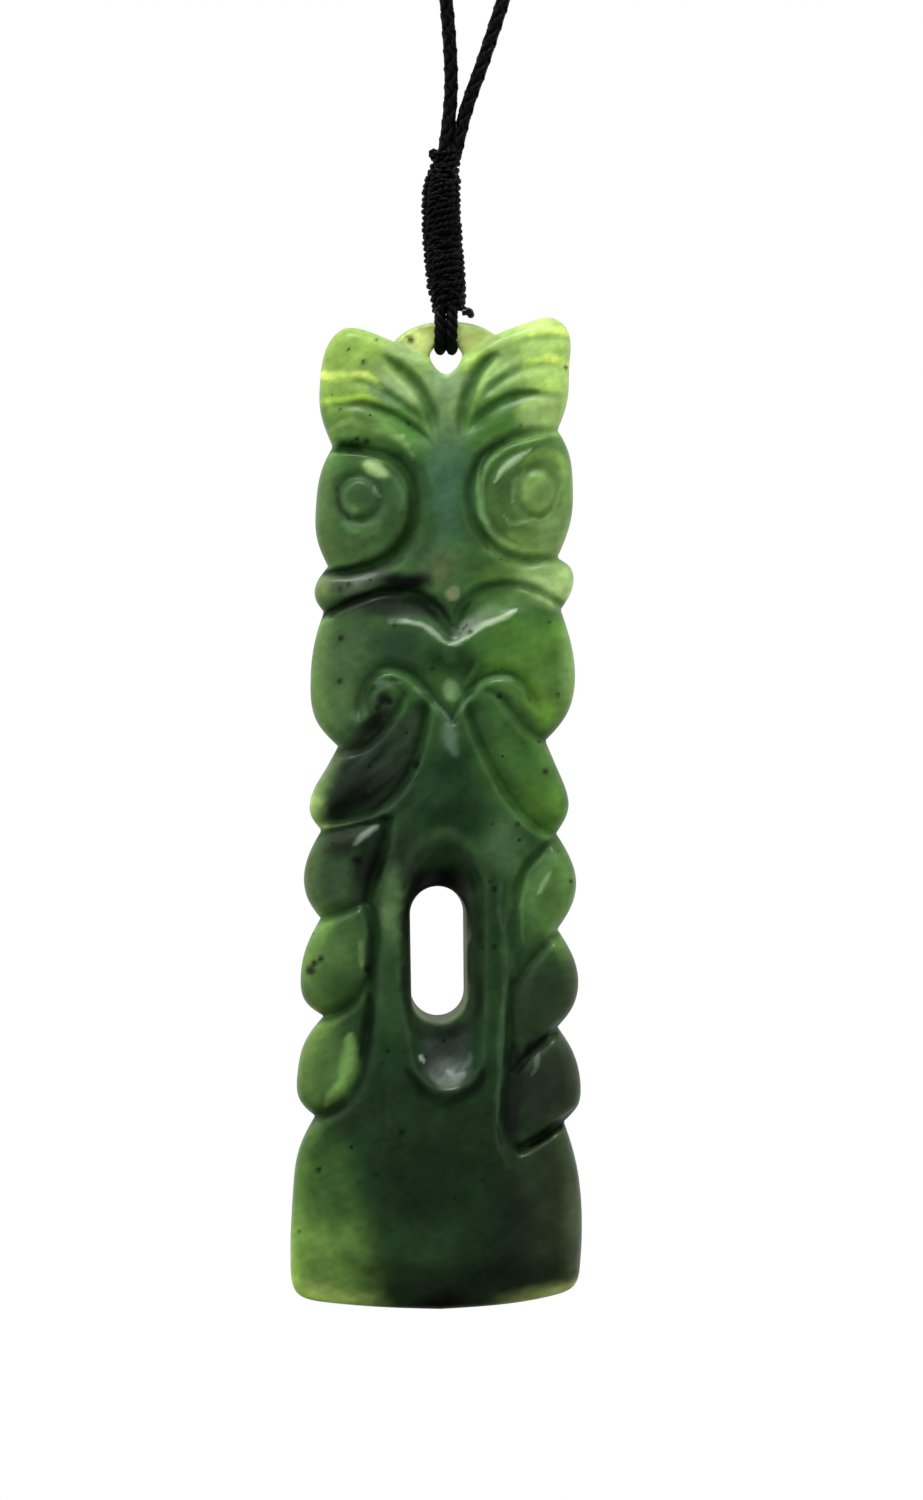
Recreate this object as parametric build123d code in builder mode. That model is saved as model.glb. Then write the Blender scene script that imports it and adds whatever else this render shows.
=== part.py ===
from build123d import *
from math import acos, atan2, cos, hypot, pi, radians, sin, sqrt, tan
import os

# A carved greenstone adze pendant on a waxed neck cord, hanging plumb. Millimetres.
# The origin is where the neck loop rests, at the underside of its top. Z is up, X is to the viewer's
# right, and the carved face looks along -Y.

# Neck cord
cord_diameter = 1.25
cord_pair_spacing = 1.35

# Whipping that binds the cord's two ends above the stone, and the curled end of its thread
whipping_length = 15.0
whipping_diameter = 3.7
thread_end_diameter = 0.55
thread_end_reach = 0.9
thread_end_forward = 0.6
# The whipping's sections from the top: (down as a share of its length, sideways, width and depth as
# shares of its diameter)
whipping_sections = [
    (0.00, 0.06, 0.84, 0.80),
    (0.10, -0.05, 0.90, 0.92),
    (0.32, -0.13, 1.00, 1.00),
    (0.55, -0.10, 1.00, 1.00),
    (0.80, 0.04, 0.98, 0.98),
    (0.93, 0.11, 0.90, 1.00),
    (1.00, 0.11, 0.80, 1.00),
]

# The two turns of cord that carry the stone
loop_strand_diameter = 1.0
loop_strand_spacing = 1.06
loop_clearance = 0.12
loop_top_gap = 0.7

# Carved stone
stone_length = 90.0
stone_width = 26.4
front_depth = 4.0
back_depth = 3.0
rim_width = 9.5
rim_height = 1.5
rim_thickness = 2.0
rim_rounding = 0.5
rim_drop = 0.25
cord_hole_diameter = 2.98
cord_hole_rounding = 0.65
slot_length = 12.8
slot_width = 4.8
scoop_length = 22.6
scoop_width = 7.7
scoop_depth = 1.9
bevel_length = 4.0
blade_edge_thickness = 1.2
deep_groove_width = 0.85
deep_groove_depth = 0.95
fine_groove_width = 0.45
fine_groove_depth = 0.5

# Neck loop: half outlines from the whipping up to the nape, as (across, above the whipping).
# The left leg goes up, over the nape and down the right leg.
left_leg = [
    (0.3, 3.2), (0.5, 8.5), (-0.5, 19.0), (-5.5, 43.0), (-13.5, 84.0), (-22.0, 131.0),
    (-30.5, 181.0), (-38.0, 227.0), (-43.5, 264.0), (-44.5, 291.0), (-36.5, 310.0),
    (-22.0, 320.5), (-7.0, 324.5),
]
right_leg = [
    (1.72, 3.2), (3.4, 8.0), (6.6, 18.0), (11.0, 40.0), (17.5, 82.0), (24.5, 130.0),
    (32.0, 180.0), (39.0, 227.0), (44.0, 264.0), (45.0, 291.0), (37.0, 310.0),
    (22.5, 320.5), (7.0, 324.5),
]

# Heights down the pendant, worked out from the pieces that hang on each other
loop_height = left_leg[-1][1]
cord_top = cord_diameter / 2
whipping_top = cord_top - loop_height
whipping_bottom = whipping_top - whipping_length
rim_middle = whipping_bottom - loop_top_gap - rim_height / 2
stone_top = rim_middle + rim_height / 2 + rim_drop
half_width = stone_width / 2
hole_middle = rim_middle - rim_height / 2 - cord_hole_diameter / 2
bar_half_thickness = rim_thickness / 2

# Outline of the stone. Each lobe is one smooth curve through (across, down): shares of half the
# stone's width from the middle, and of its length from the top. Lobes meet in sharp notches.
left_outline = [
    ("brow", [(-0.117, 0.038), (-0.379, 0.022), (-0.579, 0.011), (-0.697, 0.010), (-0.793, 0.022),
              (-0.862, 0.059), (-0.862, 0.093), (-0.779, 0.129)]),
    ("eye", [(-0.779, 0.129), (-0.855, 0.153), (-0.893, 0.189), (-0.890, 0.222), (-0.814, 0.250)]),
    ("lip", [(-0.814, 0.250), (-0.883, 0.265), (-0.900, 0.280), (-0.841, 0.296)]),
    ("cheek", [(-0.841, 0.296), (-0.903, 0.326), (-0.931, 0.368), (-0.897, 0.404), (-0.745, 0.431)]),
    ("shoulder", [(-0.745, 0.431), (-0.848, 0.459), (-0.948, 0.490), (-0.855, 0.517)]),
    ("upper leaf", [(-0.855, 0.517), (-0.945, 0.539), (-0.986, 0.571), (-0.862, 0.606)]),
    ("middle leaf", [(-0.862, 0.606), (-0.966, 0.631), (-1.003, 0.665), (-0.852, 0.703)]),
    ("lower leaf", [(-0.852, 0.703), (-0.979, 0.728), (-1.028, 0.766), (-0.903, 0.803)]),
    ("blade", [(-0.903, 0.803), (-1.007, 0.835), (-1.052, 0.880), (-1.072, 0.955), (-1.034, 0.983),
               (-0.828, 0.993), (-0.317, 0.999), (-0.041, 1.000)]),
]
right_outline = [
    ("brow", [(0.117, 0.038), (0.338, 0.017), (0.579, 0.003), (0.752, 0.000), (0.834, 0.011),
              (0.848, 0.045), (0.834, 0.083), (0.766, 0.112)]),
    ("eye", [(0.766, 0.112), (0.834, 0.131), (0.872, 0.166), (0.855, 0.204), (0.766, 0.241)]),
    ("lip", [(0.766, 0.241), (0.862, 0.253), (0.869, 0.270), (0.786, 0.293)]),
    ("cheek", [(0.786, 0.293), (0.855, 0.326), (0.883, 0.364), (0.834, 0.398), (0.683, 0.425)]),
    ("shoulder", [(0.683, 0.425), (0.779, 0.459), (0.841, 0.493), (0.759, 0.519)]),
    ("upper leaf", [(0.759, 0.519), (0.841, 0.539), (0.897, 0.570), (0.762, 0.615)]),
    ("middle leaf", [(0.762, 0.615), (0.855, 0.637), (0.907, 0.667), (0.766, 0.715)]),
    ("lower leaf", [(0.766, 0.715), (0.876, 0.740), (0.921, 0.774), (0.810, 0.812)]),
    ("blade", [(0.810, 0.812), (0.876, 0.841), (0.924, 0.880), (0.921, 0.953), (0.883, 0.976),
               (0.724, 0.987), (0.372, 0.995), (-0.041, 1.000)]),
]

# Thickness along the stone: (down, front, front at the side edges, back, back at the side edges),
# the last four as shares of the front and the back depth.
thickness = [
    (-0.05, 0.80, 0.55, 0.80, 0.62),
    (0.12, 0.90, 0.62, 0.92, 0.70),
    (0.35, 1.00, 0.66, 1.00, 0.74),
    (0.62, 0.97, 0.62, 1.00, 0.74),
    (0.88, 0.88, 0.60, 0.90, 0.70),
    (1.05, 0.76, 0.52, 0.76, 0.60),
]

# Carved lines, as arcs through a start, a middle and an end point in the same shares as the outline
deep_grooves = [
    ("left brow inner", (-0.42, 0.041), (-0.20, 0.070), (-0.05, 0.124)),
    ("left brow lower", (-0.84, 0.086), (-0.42, 0.090), (-0.07, 0.128)),
    ("left eye", (-0.77, 0.127), (-0.18, 0.186), (-0.79, 0.253)),
    ("left lip", (-0.78, 0.297), (-0.37, 0.279), (0.03, 0.309)),
    ("left mouth curl", (-0.12, 0.374), (-0.36, 0.351), (-0.62, 0.404)),
    ("left shoulder", (-0.11, 0.385), (-0.28, 0.462), (-0.80, 0.517)),
    ("left leaves", (-0.40, 0.508), (-0.54, 0.600), (-0.53, 0.700)),
    ("left leaf foot", (-0.53, 0.700), (-0.57, 0.765), (-0.85, 0.803)),
    ("right brow inner", (0.29, 0.037), (0.14, 0.073), (0.10, 0.122)),
    ("right brow lower", (0.12, 0.121), (0.38, 0.083), (0.81, 0.080)),
    ("right eye", (0.75, 0.115), (0.16, 0.175), (0.75, 0.245)),
    ("right lip", (0.03, 0.309), (0.32, 0.270), (0.74, 0.288)),
    ("right mouth curl", (0.09, 0.396), (0.38, 0.358), (0.65, 0.400)),
    ("right shoulder", (0.14, 0.385), (0.30, 0.452), (0.62, 0.514)),
    ("right leaves", (0.66, 0.532), (0.45, 0.610), (0.45, 0.700)),
    ("right leaf foot", (0.45, 0.700), (0.40, 0.780), (0.45, 0.852)),
]
fine_grooves = [
    ("left brow upper", (-0.83, 0.061), (-0.50, 0.069), (-0.13, 0.106)),
    ("left cheek edge", (-0.66, 0.437), (-0.42, 0.424), (-0.27, 0.372)),
    ("left upper leaf", (-0.82, 0.604), (-0.68, 0.592), (-0.57, 0.570)),
    ("left middle leaf", (-0.81, 0.701), (-0.66, 0.686), (-0.57, 0.660)),
    ("right brow upper", (0.23, 0.077), (0.50, 0.053), (0.82, 0.052)),
    ("right upper leaf", (0.73, 0.616), (0.62, 0.634), (0.52, 0.662)),
    ("right middle leaf", (0.74, 0.716), (0.63, 0.730), (0.53, 0.752)),
    ("right lower leaf", (0.78, 0.812), (0.66, 0.822), (0.55, 0.838)),
]
# Rings round the pupils: (across, down, diameter as a share of half the width)
pupil_rings = [
    ("left pupil", -0.60, 0.182, 0.29),
    ("right pupil", 0.63, 0.175, 0.36),
]
# Middles of the slot and of its scooped surround, and how far forward the surround's mouth lies
slot_place = (-0.053, 0.642)
scoop_place = (-0.038, 0.650)
scoop_mouth = 0.88
bevel_start_front = 0.86
bevel_start_back = 0.88


def on_stone(share):
    """The place of a point on the stone's face, in X and Z."""
    return (share[0] * half_width, stone_top - share[1] * stone_length)


# The stone's face is drawn as it is seen from the front, X to the right and Z up.
face_plane = Plane.XZ
behind_stone = -2 * back_depth
through_stone = 2 * (front_depth + back_depth) + 2 * back_depth

with BuildPart() as blank:
    for down, front, front_side, back, back_side in thickness:
        level = stone_top - down * stone_length
        side = 1.15 * half_width
        with BuildSketch(Plane.XY.offset(level)):
            with BuildLine():
                ThreePointArc(
                    (-side, -front_side * front_depth),
                    (0, -front * front_depth),
                    (side, -front_side * front_depth),
                )
                Line((side, -front_side * front_depth), (side, back_side * back_depth))
                ThreePointArc(
                    (side, back_side * back_depth),
                    (0, back * back_depth),
                    (-side, back_side * back_depth),
                )
                Line((-side, back_side * back_depth), (-side, -front_side * front_depth))
            make_face()
    loft()

with BuildPart() as rim:
    rim_half = rim_width / 2
    rim_foot = hole_middle - cord_hole_diameter / 2
    rim_top = rim_middle + rim_height / 2
    shoulder_radius = min(0.45 * rim_width, 0.8 * (rim_top - hole_middle))
    with BuildSketch(face_plane.offset(-bar_half_thickness)):
        with BuildLine():
            arch = Polyline(
                (-rim_half, rim_foot), (-rim_half, rim_top), (rim_half, rim_top), (rim_half, rim_foot)
            )
            Line((rim_half, rim_foot), (-rim_half, rim_foot))
        make_face()
        fillet(vertices().group_by(Axis.Y)[-1], shoulder_radius)
    extrude(amount=rim_thickness)
    face_edges = edges().filter_by(face_plane).filter_by(lambda edge: edge.center().Z > rim_foot + 0.1)
    fillet(face_edges, min(rim_rounding, 0.45 * rim_thickness))

with BuildPart() as scoop:
    # Steep at the top, flat beside the slot, and a long ramp at the bottom
    with BuildSketch(face_plane):
        with Locations(on_stone(scoop_place)):
            SlotOverall(scoop_length, scoop_width, rotation=90)
    extrude(amount=2 * front_depth)
    scoop_middle = on_stone(scoop_place)[1]
    slot_middle = on_stone(slot_place)[1]
    scoop_front = -scoop_mouth * front_depth
    scoop_floor = scoop_front + scoop_depth
    with BuildSketch(Plane.YZ.offset(-stone_width)):
        with BuildLine():
            Polyline(
                (-2 * front_depth, scoop_middle + scoop_length / 2),
                (scoop_front, scoop_middle + scoop_length / 2),
                (scoop_floor, slot_middle + slot_length / 2),
                (scoop_floor, slot_middle - slot_length / 2),
                (scoop_front, scoop_middle - scoop_length / 2),
                (-2 * front_depth, scoop_middle - scoop_length / 2),
                close=True,
            )
        make_face()
    extrude(amount=2 * stone_width, mode=Mode.INTERSECT)

# The carved lines keep an even depth below the stone's curved face: each cutter is the lines' outline
# run through the stone, less the stone's own thickness set back by the depth.
groove_cutters = []
for grooves, rings, width, depth in (
    (deep_grooves, [], deep_groove_width, deep_groove_depth),
    (fine_grooves, pupil_rings, fine_groove_width, fine_groove_depth),
):
    with BuildPart() as cutter:
        with BuildSketch(face_plane):
            for name, start, middle, end in grooves:
                with BuildLine():
                    ThreePointArc(on_stone(start), on_stone(middle), on_stone(end))
                trace(line_width=width)
            for name, across, down, share in rings:
                ring_radius = share * half_width / 2
                with Locations(on_stone((across, down))):
                    Circle(ring_radius + width / 2)
                    Circle(ring_radius - width / 2, mode=Mode.SUBTRACT)
        extrude(amount=2 * front_depth)
        add(blank.part.moved(Location((0, depth, 0))), mode=Mode.SUBTRACT)
    groove_cutters.append(cutter)

with BuildPart() as pendant_stone:
    with BuildSketch(face_plane.offset(behind_stone)):
        with BuildLine():
            for lobe in left_outline:
                Spline([on_stone(share) for share in lobe[1]])
            for lobe in right_outline:
                Spline([on_stone(share) for share in lobe[1]])
            left_lip = on_stone(left_outline[0][1][0])
            right_lip = on_stone(right_outline[0][1][0])
            ThreePointArc(left_lip, (0, hole_middle - cord_hole_diameter / 2), right_lip)
        make_face()
    extrude(amount=through_stone)
    add(blank.part, mode=Mode.INTERSECT)

    # Front and back bevels that leave the thin cutting edge
    bevel_top = stone_top - stone_length + bevel_length
    with BuildSketch(Plane.YZ.offset(-stone_width)):
        with BuildLine():
            Polyline(
                (-bevel_start_front * front_depth, bevel_top),
                (-blade_edge_thickness / 2, stone_top - 1.02 * stone_length),
                (-2 * front_depth, stone_top - 1.02 * stone_length),
                (-2 * front_depth, bevel_top),
                close=True,
            )
        make_face()
        with BuildLine():
            Polyline(
                (bevel_start_back * back_depth, bevel_top),
                (blade_edge_thickness / 2, stone_top - 1.02 * stone_length),
                (2 * back_depth, stone_top - 1.02 * stone_length),
                (2 * back_depth, bevel_top),
                close=True,
            )
        make_face()
    extrude(amount=2 * stone_width, mode=Mode.SUBTRACT)

    # The thin rim bridges the brows at half thickness, and the drilled hole is rounded at both faces
    add(rim.part)
    hole_flare = cord_hole_diameter / 2 + cord_hole_rounding
    with BuildSketch(Plane.XY.offset(hole_middle)):
        with BuildLine():
            inner_end = bar_half_thickness - cord_hole_rounding
            radius = cord_hole_diameter / 2
            Line((0, -2 * front_depth), (hole_flare, -2 * front_depth))
            Line((hole_flare, -2 * front_depth), (hole_flare, -bar_half_thickness))
            RadiusArc((hole_flare, -bar_half_thickness), (radius, -inner_end), -cord_hole_rounding)
            Line((radius, -inner_end), (radius, inner_end))
            RadiusArc((radius, inner_end), (hole_flare, bar_half_thickness), -cord_hole_rounding)
            Line((hole_flare, bar_half_thickness), (hole_flare, 2 * back_depth))
            Line((hole_flare, 2 * back_depth), (0, 2 * back_depth))
            Line((0, 2 * back_depth), (0, -2 * front_depth))
        make_face()
    revolve(axis=Axis((0, 0, hole_middle), (0, 1, 0)), mode=Mode.SUBTRACT)

    # The scooped surround and the slot through it
    add(scoop.part, mode=Mode.SUBTRACT)
    with BuildSketch(face_plane.offset(behind_stone)):
        with Locations(on_stone(slot_place)):
            SlotOverall(slot_length, slot_width, rotation=90)
    extrude(amount=through_stone, mode=Mode.SUBTRACT)

    # The carved lines
    for cutter in groove_cutters:
        add(cutter.part, mode=Mode.SUBTRACT)
pendant_stone.part.label = "pendant_stone"


# Each hanging loop goes down from the whipping, under the rim through the hole, and up again
loop_radius = bar_half_thickness + loop_clearance + loop_strand_diameter / 2
loop_side = loop_strand_spacing / 2
crown_reach = cord_hole_diameter / 2 - loop_clearance - loop_strand_diameter / 2
loop_bottom = hole_middle + sqrt(crown_reach**2 - loop_side**2)
loop_middle = loop_bottom + loop_radius
loop_entry = 0.8 * loop_radius
entry_height = whipping_bottom - loop_middle
touch_angle = atan2(entry_height, loop_entry) - acos(loop_radius / hypot(loop_entry, entry_height))
touch_across = loop_radius * cos(touch_angle)
touch_height = loop_middle + loop_radius * sin(touch_angle)

hanging_loops = []
for loop_name, loop_x in (("hanging_loop_left", -loop_side), ("hanging_loop_right", loop_side)):
    with BuildPart() as hanging_loop:
        with BuildLine(Plane.YZ.offset(loop_x)) as loop_path:
            Line((-loop_entry, whipping_bottom), (-touch_across, touch_height))
            ThreePointArc((-touch_across, touch_height), (0, loop_bottom), (touch_across, touch_height))
            Line((touch_across, touch_height), (loop_entry, whipping_bottom))
        with BuildSketch(Plane(origin=loop_path.line @ 0, z_dir=loop_path.line % 0)):
            Circle(loop_strand_diameter / 2)
        sweep()
        # The ends are cut level, face to face with the whipping
        with Locations((loop_x, 0, whipping_bottom)):
            Box(4 * loop_radius, 4 * loop_radius, loop_radius, align=(Align.CENTER, Align.CENTER, Align.MIN),
                mode=Mode.SUBTRACT)
    hanging_loop.part.label = loop_name
    hanging_loops.append(hanging_loop)

# The whipping leans a little to the left in the middle
with BuildPart() as whipping:
    for down, sideways, across, deep in whipping_sections:
        with BuildSketch(Plane.XY.offset(whipping_top - down * whipping_length)):
            with Locations((sideways * whipping_diameter, 0)):
                Ellipse(across * whipping_diameter / 2, deep * whipping_diameter / 2)
    loft()
whipping.part.label = "whipping"

# The whipping thread's end curls out at the lower right and is melted to a bead
with BuildPart() as thread_end:
    whipping_side = (whipping_sections[-1][1] + whipping_sections[-2][2] / 2) * whipping_diameter
    curl_start = (whipping_side, whipping_bottom + 0.55 * thread_end_reach)
    curl_end = (whipping_side + 0.7 * thread_end_reach, whipping_bottom - 0.05 * thread_end_reach)
    curl_crest = (whipping_side + 0.52 * thread_end_reach, whipping_bottom + 0.50 * thread_end_reach)
    thread_plane = face_plane.offset(thread_end_forward)
    with BuildLine(thread_plane) as curl_path:
        ThreePointArc(curl_start, curl_crest, curl_end)
    with BuildSketch(Plane(origin=curl_path.line @ 0, z_dir=curl_path.line % 0)):
        Circle(thread_end_diameter / 2)
    sweep()
    with Locations(curl_path.line @ 1):
        Sphere(0.6 * thread_end_diameter)
thread_end.part.label = "thread_end"

# The neck cord's route: straight runs joined by arcs as large as the two runs allow
pair_middle = (left_leg[0][0] + right_leg[0][0]) / 2 - 0.5
cord_start_gap = 0.1
route = [(pair_middle - cord_pair_spacing / 2, cord_start_gap)]
route += left_leg
route += right_leg[::-1]
route += [(pair_middle + cord_pair_spacing / 2, cord_start_gap)]
route = [(across, whipping_top + above) for across, above in route]


def bend_radii(points):
    """The radius of each corner's arc: 0.45 of the shorter run over the tangent of half the turn."""
    radii = []
    for before, corner, after in zip(points, points[1:], points[2:]):
        first_run = Vector(*corner) - Vector(*before)
        second_run = Vector(*after) - Vector(*corner)
        half_turn = radians(first_run.get_angle(second_run)) / 2
        radii.append(0.45 * min(first_run.length, second_run.length) / tan(half_turn))
    return radii


cord_radii = bend_radii(route)
with BuildPart() as neck_cord:
    with BuildLine(face_plane) as cord_path:
        FilletPolyline(*route, radius=cord_radii)
    with BuildSketch(Plane(origin=cord_path.line @ 0, z_dir=cord_path.line % 0)):
        Circle(cord_diameter / 2)
    sweep()
neck_cord.part.label = "neck_cord"

cord_length = cord_path.wires()[0].length
section_volume = pi * cord_diameter**2 / 4 * cord_length
print("neck cord length", round(cord_length, 1))
print("neck cord bend radii", [round(radius, 1) for radius in cord_radii])
print("neck cord volume", round(neck_cord.part.volume, 2), "section times length", round(section_volume, 2))

os.makedirs("parts", exist_ok=True)
for piece in [pendant_stone, whipping, thread_end, neck_cord] + hanging_loops:
    export_step(piece.part, f"parts/{piece.part.label}.step")
    print(piece.part.label, "volume", round(piece.part.volume, 2), "valid", piece.part.is_valid)
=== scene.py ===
import math
import random

import bpy
import numpy as np
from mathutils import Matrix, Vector


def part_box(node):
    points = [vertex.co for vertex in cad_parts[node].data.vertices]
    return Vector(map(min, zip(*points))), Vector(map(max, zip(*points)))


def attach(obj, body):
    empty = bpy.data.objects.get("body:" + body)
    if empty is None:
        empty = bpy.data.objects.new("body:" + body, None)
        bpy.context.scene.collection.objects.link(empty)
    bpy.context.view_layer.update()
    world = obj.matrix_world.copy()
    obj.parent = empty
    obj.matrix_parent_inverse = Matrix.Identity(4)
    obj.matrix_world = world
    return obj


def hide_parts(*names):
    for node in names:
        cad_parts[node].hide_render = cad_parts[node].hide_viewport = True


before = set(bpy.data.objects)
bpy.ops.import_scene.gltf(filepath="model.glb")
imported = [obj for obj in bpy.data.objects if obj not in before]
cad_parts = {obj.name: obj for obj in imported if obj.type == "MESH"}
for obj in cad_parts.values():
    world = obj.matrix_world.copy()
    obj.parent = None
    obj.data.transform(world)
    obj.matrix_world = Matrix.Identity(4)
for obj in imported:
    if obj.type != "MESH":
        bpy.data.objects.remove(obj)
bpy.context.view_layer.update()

# Studio
# The pendant hangs plumb in front of plain white, with a pale floor far below it. The light is soft: a small
# panel high in front for the glints, two wide ones low in front, and a pale room at the sides and behind.
mm = 0.001


def colour(hex_code):
    """An sRGB hex value as the linear colour that the shaders take."""
    channels = [int(hex_code[place:place + 2], 16) / 255 for place in (1, 3, 5)]
    linear = [c / 12.92 if c <= 0.04045 else ((c + 0.055) / 1.055) ** 2.4 for c in channels]
    return (*linear, 1.0)


def add_node(tree, kind, settings, **properties):
    """Adds a node with its properties. Each setting is a socket's value, or the output that feeds it."""
    made = tree.nodes.new("ShaderNode" + kind)
    for name, value in properties.items():
        setattr(made, name, value)
    for socket, value in settings.items():
        if isinstance(value, bpy.types.NodeSocket):
            tree.links.new(value, made.inputs[socket])
        else:
            made.inputs[socket].default_value = value
    return made


def new_material(name):
    """A material with an empty node tree, and that tree."""
    material = bpy.data.materials.new(name)
    material.use_nodes = True
    material.node_tree.nodes.clear()
    return material, material.node_tree


stone_low, stone_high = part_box("pendant_stone")
view_distance = 500 * mm
view_height = 136.5 * mm
view_middle = Vector((1.41 * mm, 0, -378.46 * mm))
film_side = 36.0

lens = bpy.data.cameras.new("camera")
lens.sensor_width = film_side
lens.lens = film_side * view_distance / view_height
camera = bpy.data.objects.new("camera", lens)
camera.location = view_middle - Vector((0, view_distance, 0))
camera.rotation_euler = (math.radians(90), 0, 0)
bpy.context.scene.collection.objects.link(camera)
bpy.context.scene.camera = camera
bpy.context.scene.view_settings.view_transform = "Standard"

# White card behind, and a grey room in front that is lighter overhead
world = bpy.data.worlds.new("studio")
bpy.context.scene.world = world
world.use_nodes = True
world.node_tree.nodes.clear()
room = world.node_tree
way = add_node(room, "TexCoord", {})
parts = add_node(room, "SeparateXYZ", {"Vector": way.outputs["Generated"]})
behind = add_node(room, "MapRange", {"Value": parts.outputs["Y"], "From Min": 0.05, "From Max": 0.70,
                                     "To Max": 0.6}, interpolation_type="SMOOTHSTEP")
above = add_node(room, "MapRange", {"Value": parts.outputs["Z"], "From Min": 0.05, "From Max": 1.0,
                                    "To Min": 0.04, "To Max": 0.50}, interpolation_type="SMOOTHSTEP")
to_side = add_node(room, "Math", {0: parts.outputs["X"]}, operation="ABSOLUTE")
beside = add_node(room, "MapRange", {"Value": to_side.outputs[0], "From Min": 0.35, "From Max": 1.0,
                                     "To Max": 0.45}, interpolation_type="SMOOTHSTEP")
in_front = add_node(room, "Math", {0: above.outputs[0], 1: beside.outputs[0]}, operation="ADD")
strength = add_node(room, "Math", {0: in_front.outputs[0], 1: behind.outputs[0]}, operation="ADD")
lit = add_node(room, "Background", {"Color": colour("#ffffff"), "Strength": strength.outputs[0]})
seen = add_node(room, "Background", {"Color": colour("#ffffff"), "Strength": 1.0})
ray = add_node(room, "LightPath", {})
card = add_node(room, "MixShader", {0: ray.outputs["Is Camera Ray"], 1: lit.outputs[0], 2: seen.outputs[0]})
add_node(room, "OutputWorld", {"Surface": card.outputs[0]})

# Panels: (place from the stone's middle, width, height, watts, whether it shows in the gloss), each turned to
# face the stone. The two in front are cross-polarised, so they light the stone and leave no glare on it.
stone_middle = (stone_low + stone_high) / 2
panels = {
    "panel_overhead": ((-0.08, -0.22, 0.52), 0.26, 0.14, 1.6, True),
    "panel_front_left": ((-0.46, -0.46, 0.20), 0.60, 0.60, 2.05, False),
    "panel_front_right": ((0.48, -0.46, 0.22), 0.60, 0.60, 2.05, False),
}
for name, (place, width, height, watts, in_gloss) in panels.items():
    light = bpy.data.lights.new(name, "AREA")
    light.shape = "RECTANGLE"
    light.size = width
    light.size_y = height
    light.energy = watts
    panel = bpy.data.objects.new(name, light)
    panel.location = stone_middle + Vector(place)
    panel.rotation_euler = (-Vector(place)).to_track_quat("-Z", "Y").to_euler()
    panel.visible_glossy = in_gloss
    bpy.context.scene.collection.objects.link(panel)

# The floor shows to the camera alone: it throws neither light nor a reflection up at the stone
floor_radius = 1.1
floor_drop = 0.75
bpy.ops.mesh.primitive_circle_add(vertices=96, radius=floor_radius, fill_type="NGON",
                                  location=(0, 0, -floor_drop))
floor = bpy.context.object
floor.name = "floor"
floor.visible_diffuse = False
floor.visible_glossy = False
paint, tree = new_material("matt_pale_floor_paint")
surface = add_node(tree, "BsdfPrincipled", {"Base Color": colour("#c9c9c6"), "Roughness": 0.9})
add_node(tree, "OutputMaterial", {"Surface": surface.outputs[0]})
floor.data.materials.append(paint)


# Neck cord
# One length of waxed polyester cord, plaited round from eight fine strands, black. Its two ends go down side
# by side into the whipping, and its loop rests on the nape, where the model's origin is.
whipping_low, whipping_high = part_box("whipping")
whipping_top = whipping_high.z / mm
# The two ways up from the whipping, in mm: (across, above the whipping's top)
left_leg = [
    (0.43, 3.2), (0.5, 8.5), (-0.5, 19.0), (-5.5, 43.0), (-13.5, 84.0), (-22.0, 131.0),
    (-30.5, 181.0), (-38.0, 227.0), (-43.5, 264.0), (-44.5, 291.0), (-36.5, 310.0),
    (-22.0, 320.5), (-7.0, 324.5),
]
right_leg = [
    (1.57, 3.2), (3.4, 8.0), (6.6, 18.0), (11.0, 40.0), (17.5, 82.0), (24.5, 130.0),
    (32.0, 180.0), (39.0, 227.0), (44.0, 264.0), (45.0, 291.0), (37.0, 310.0),
    (22.5, 320.5), (7.0, 324.5),
]
cord_end_depth = 0.8
cord_ends = [(-0.25, -cord_end_depth), (0.75, -cord_end_depth)]
route = cord_ends[:1] + left_leg + right_leg[::-1] + cord_ends[1:]


def read_route(points):
    """The smooth line of a route, in mm, read from a NURBS curve whose control points the route gives."""
    curve = bpy.data.curves.new("route", "CURVE")
    curve.dimensions = "3D"
    spline = curve.splines.new("NURBS")
    spline.points.add(len(points) - 1)
    for control, (across, above) in zip(spline.points, points):
        control.co = (across, 0, whipping_top + above, 1)
    spline.order_u = 3
    spline.use_endpoint_u = True
    spline.resolution_u = 48
    holder = bpy.data.objects.new("route", curve)
    bpy.context.scene.collection.objects.link(holder)
    mesh = bpy.data.meshes.new_from_object(holder)
    line = np.array([vertex.co for vertex in mesh.vertices])
    bpy.data.objects.remove(holder)
    bpy.data.curves.remove(curve)
    bpy.data.meshes.remove(mesh)
    return line


def even_steps(line, step):
    """The same line with its points a step apart, and how far along each point is."""
    travelled = np.concatenate([[0], np.cumsum(np.linalg.norm(np.diff(line, axis=0), axis=1))])
    along = np.linspace(0, travelled[-1], max(3, round(travelled[-1] / step)))
    return np.stack([np.interp(along, travelled, line[:, axis]) for axis in range(3)], axis=1), along


def unit(vectors):
    """The same directions with a length of 1."""
    return vectors / np.maximum(np.linalg.norm(vectors, axis=-1, keepdims=True), 1e-9)


def ways_across(line, facing):
    """At each point of a line, the two ways across it: sideways, and outward to where it faces."""
    ahead = unit(np.gradient(line, axis=0))
    sideways = unit(np.cross(ahead, facing))
    return sideways, np.cross(sideways, ahead)


strand_shift = 7.3


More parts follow.
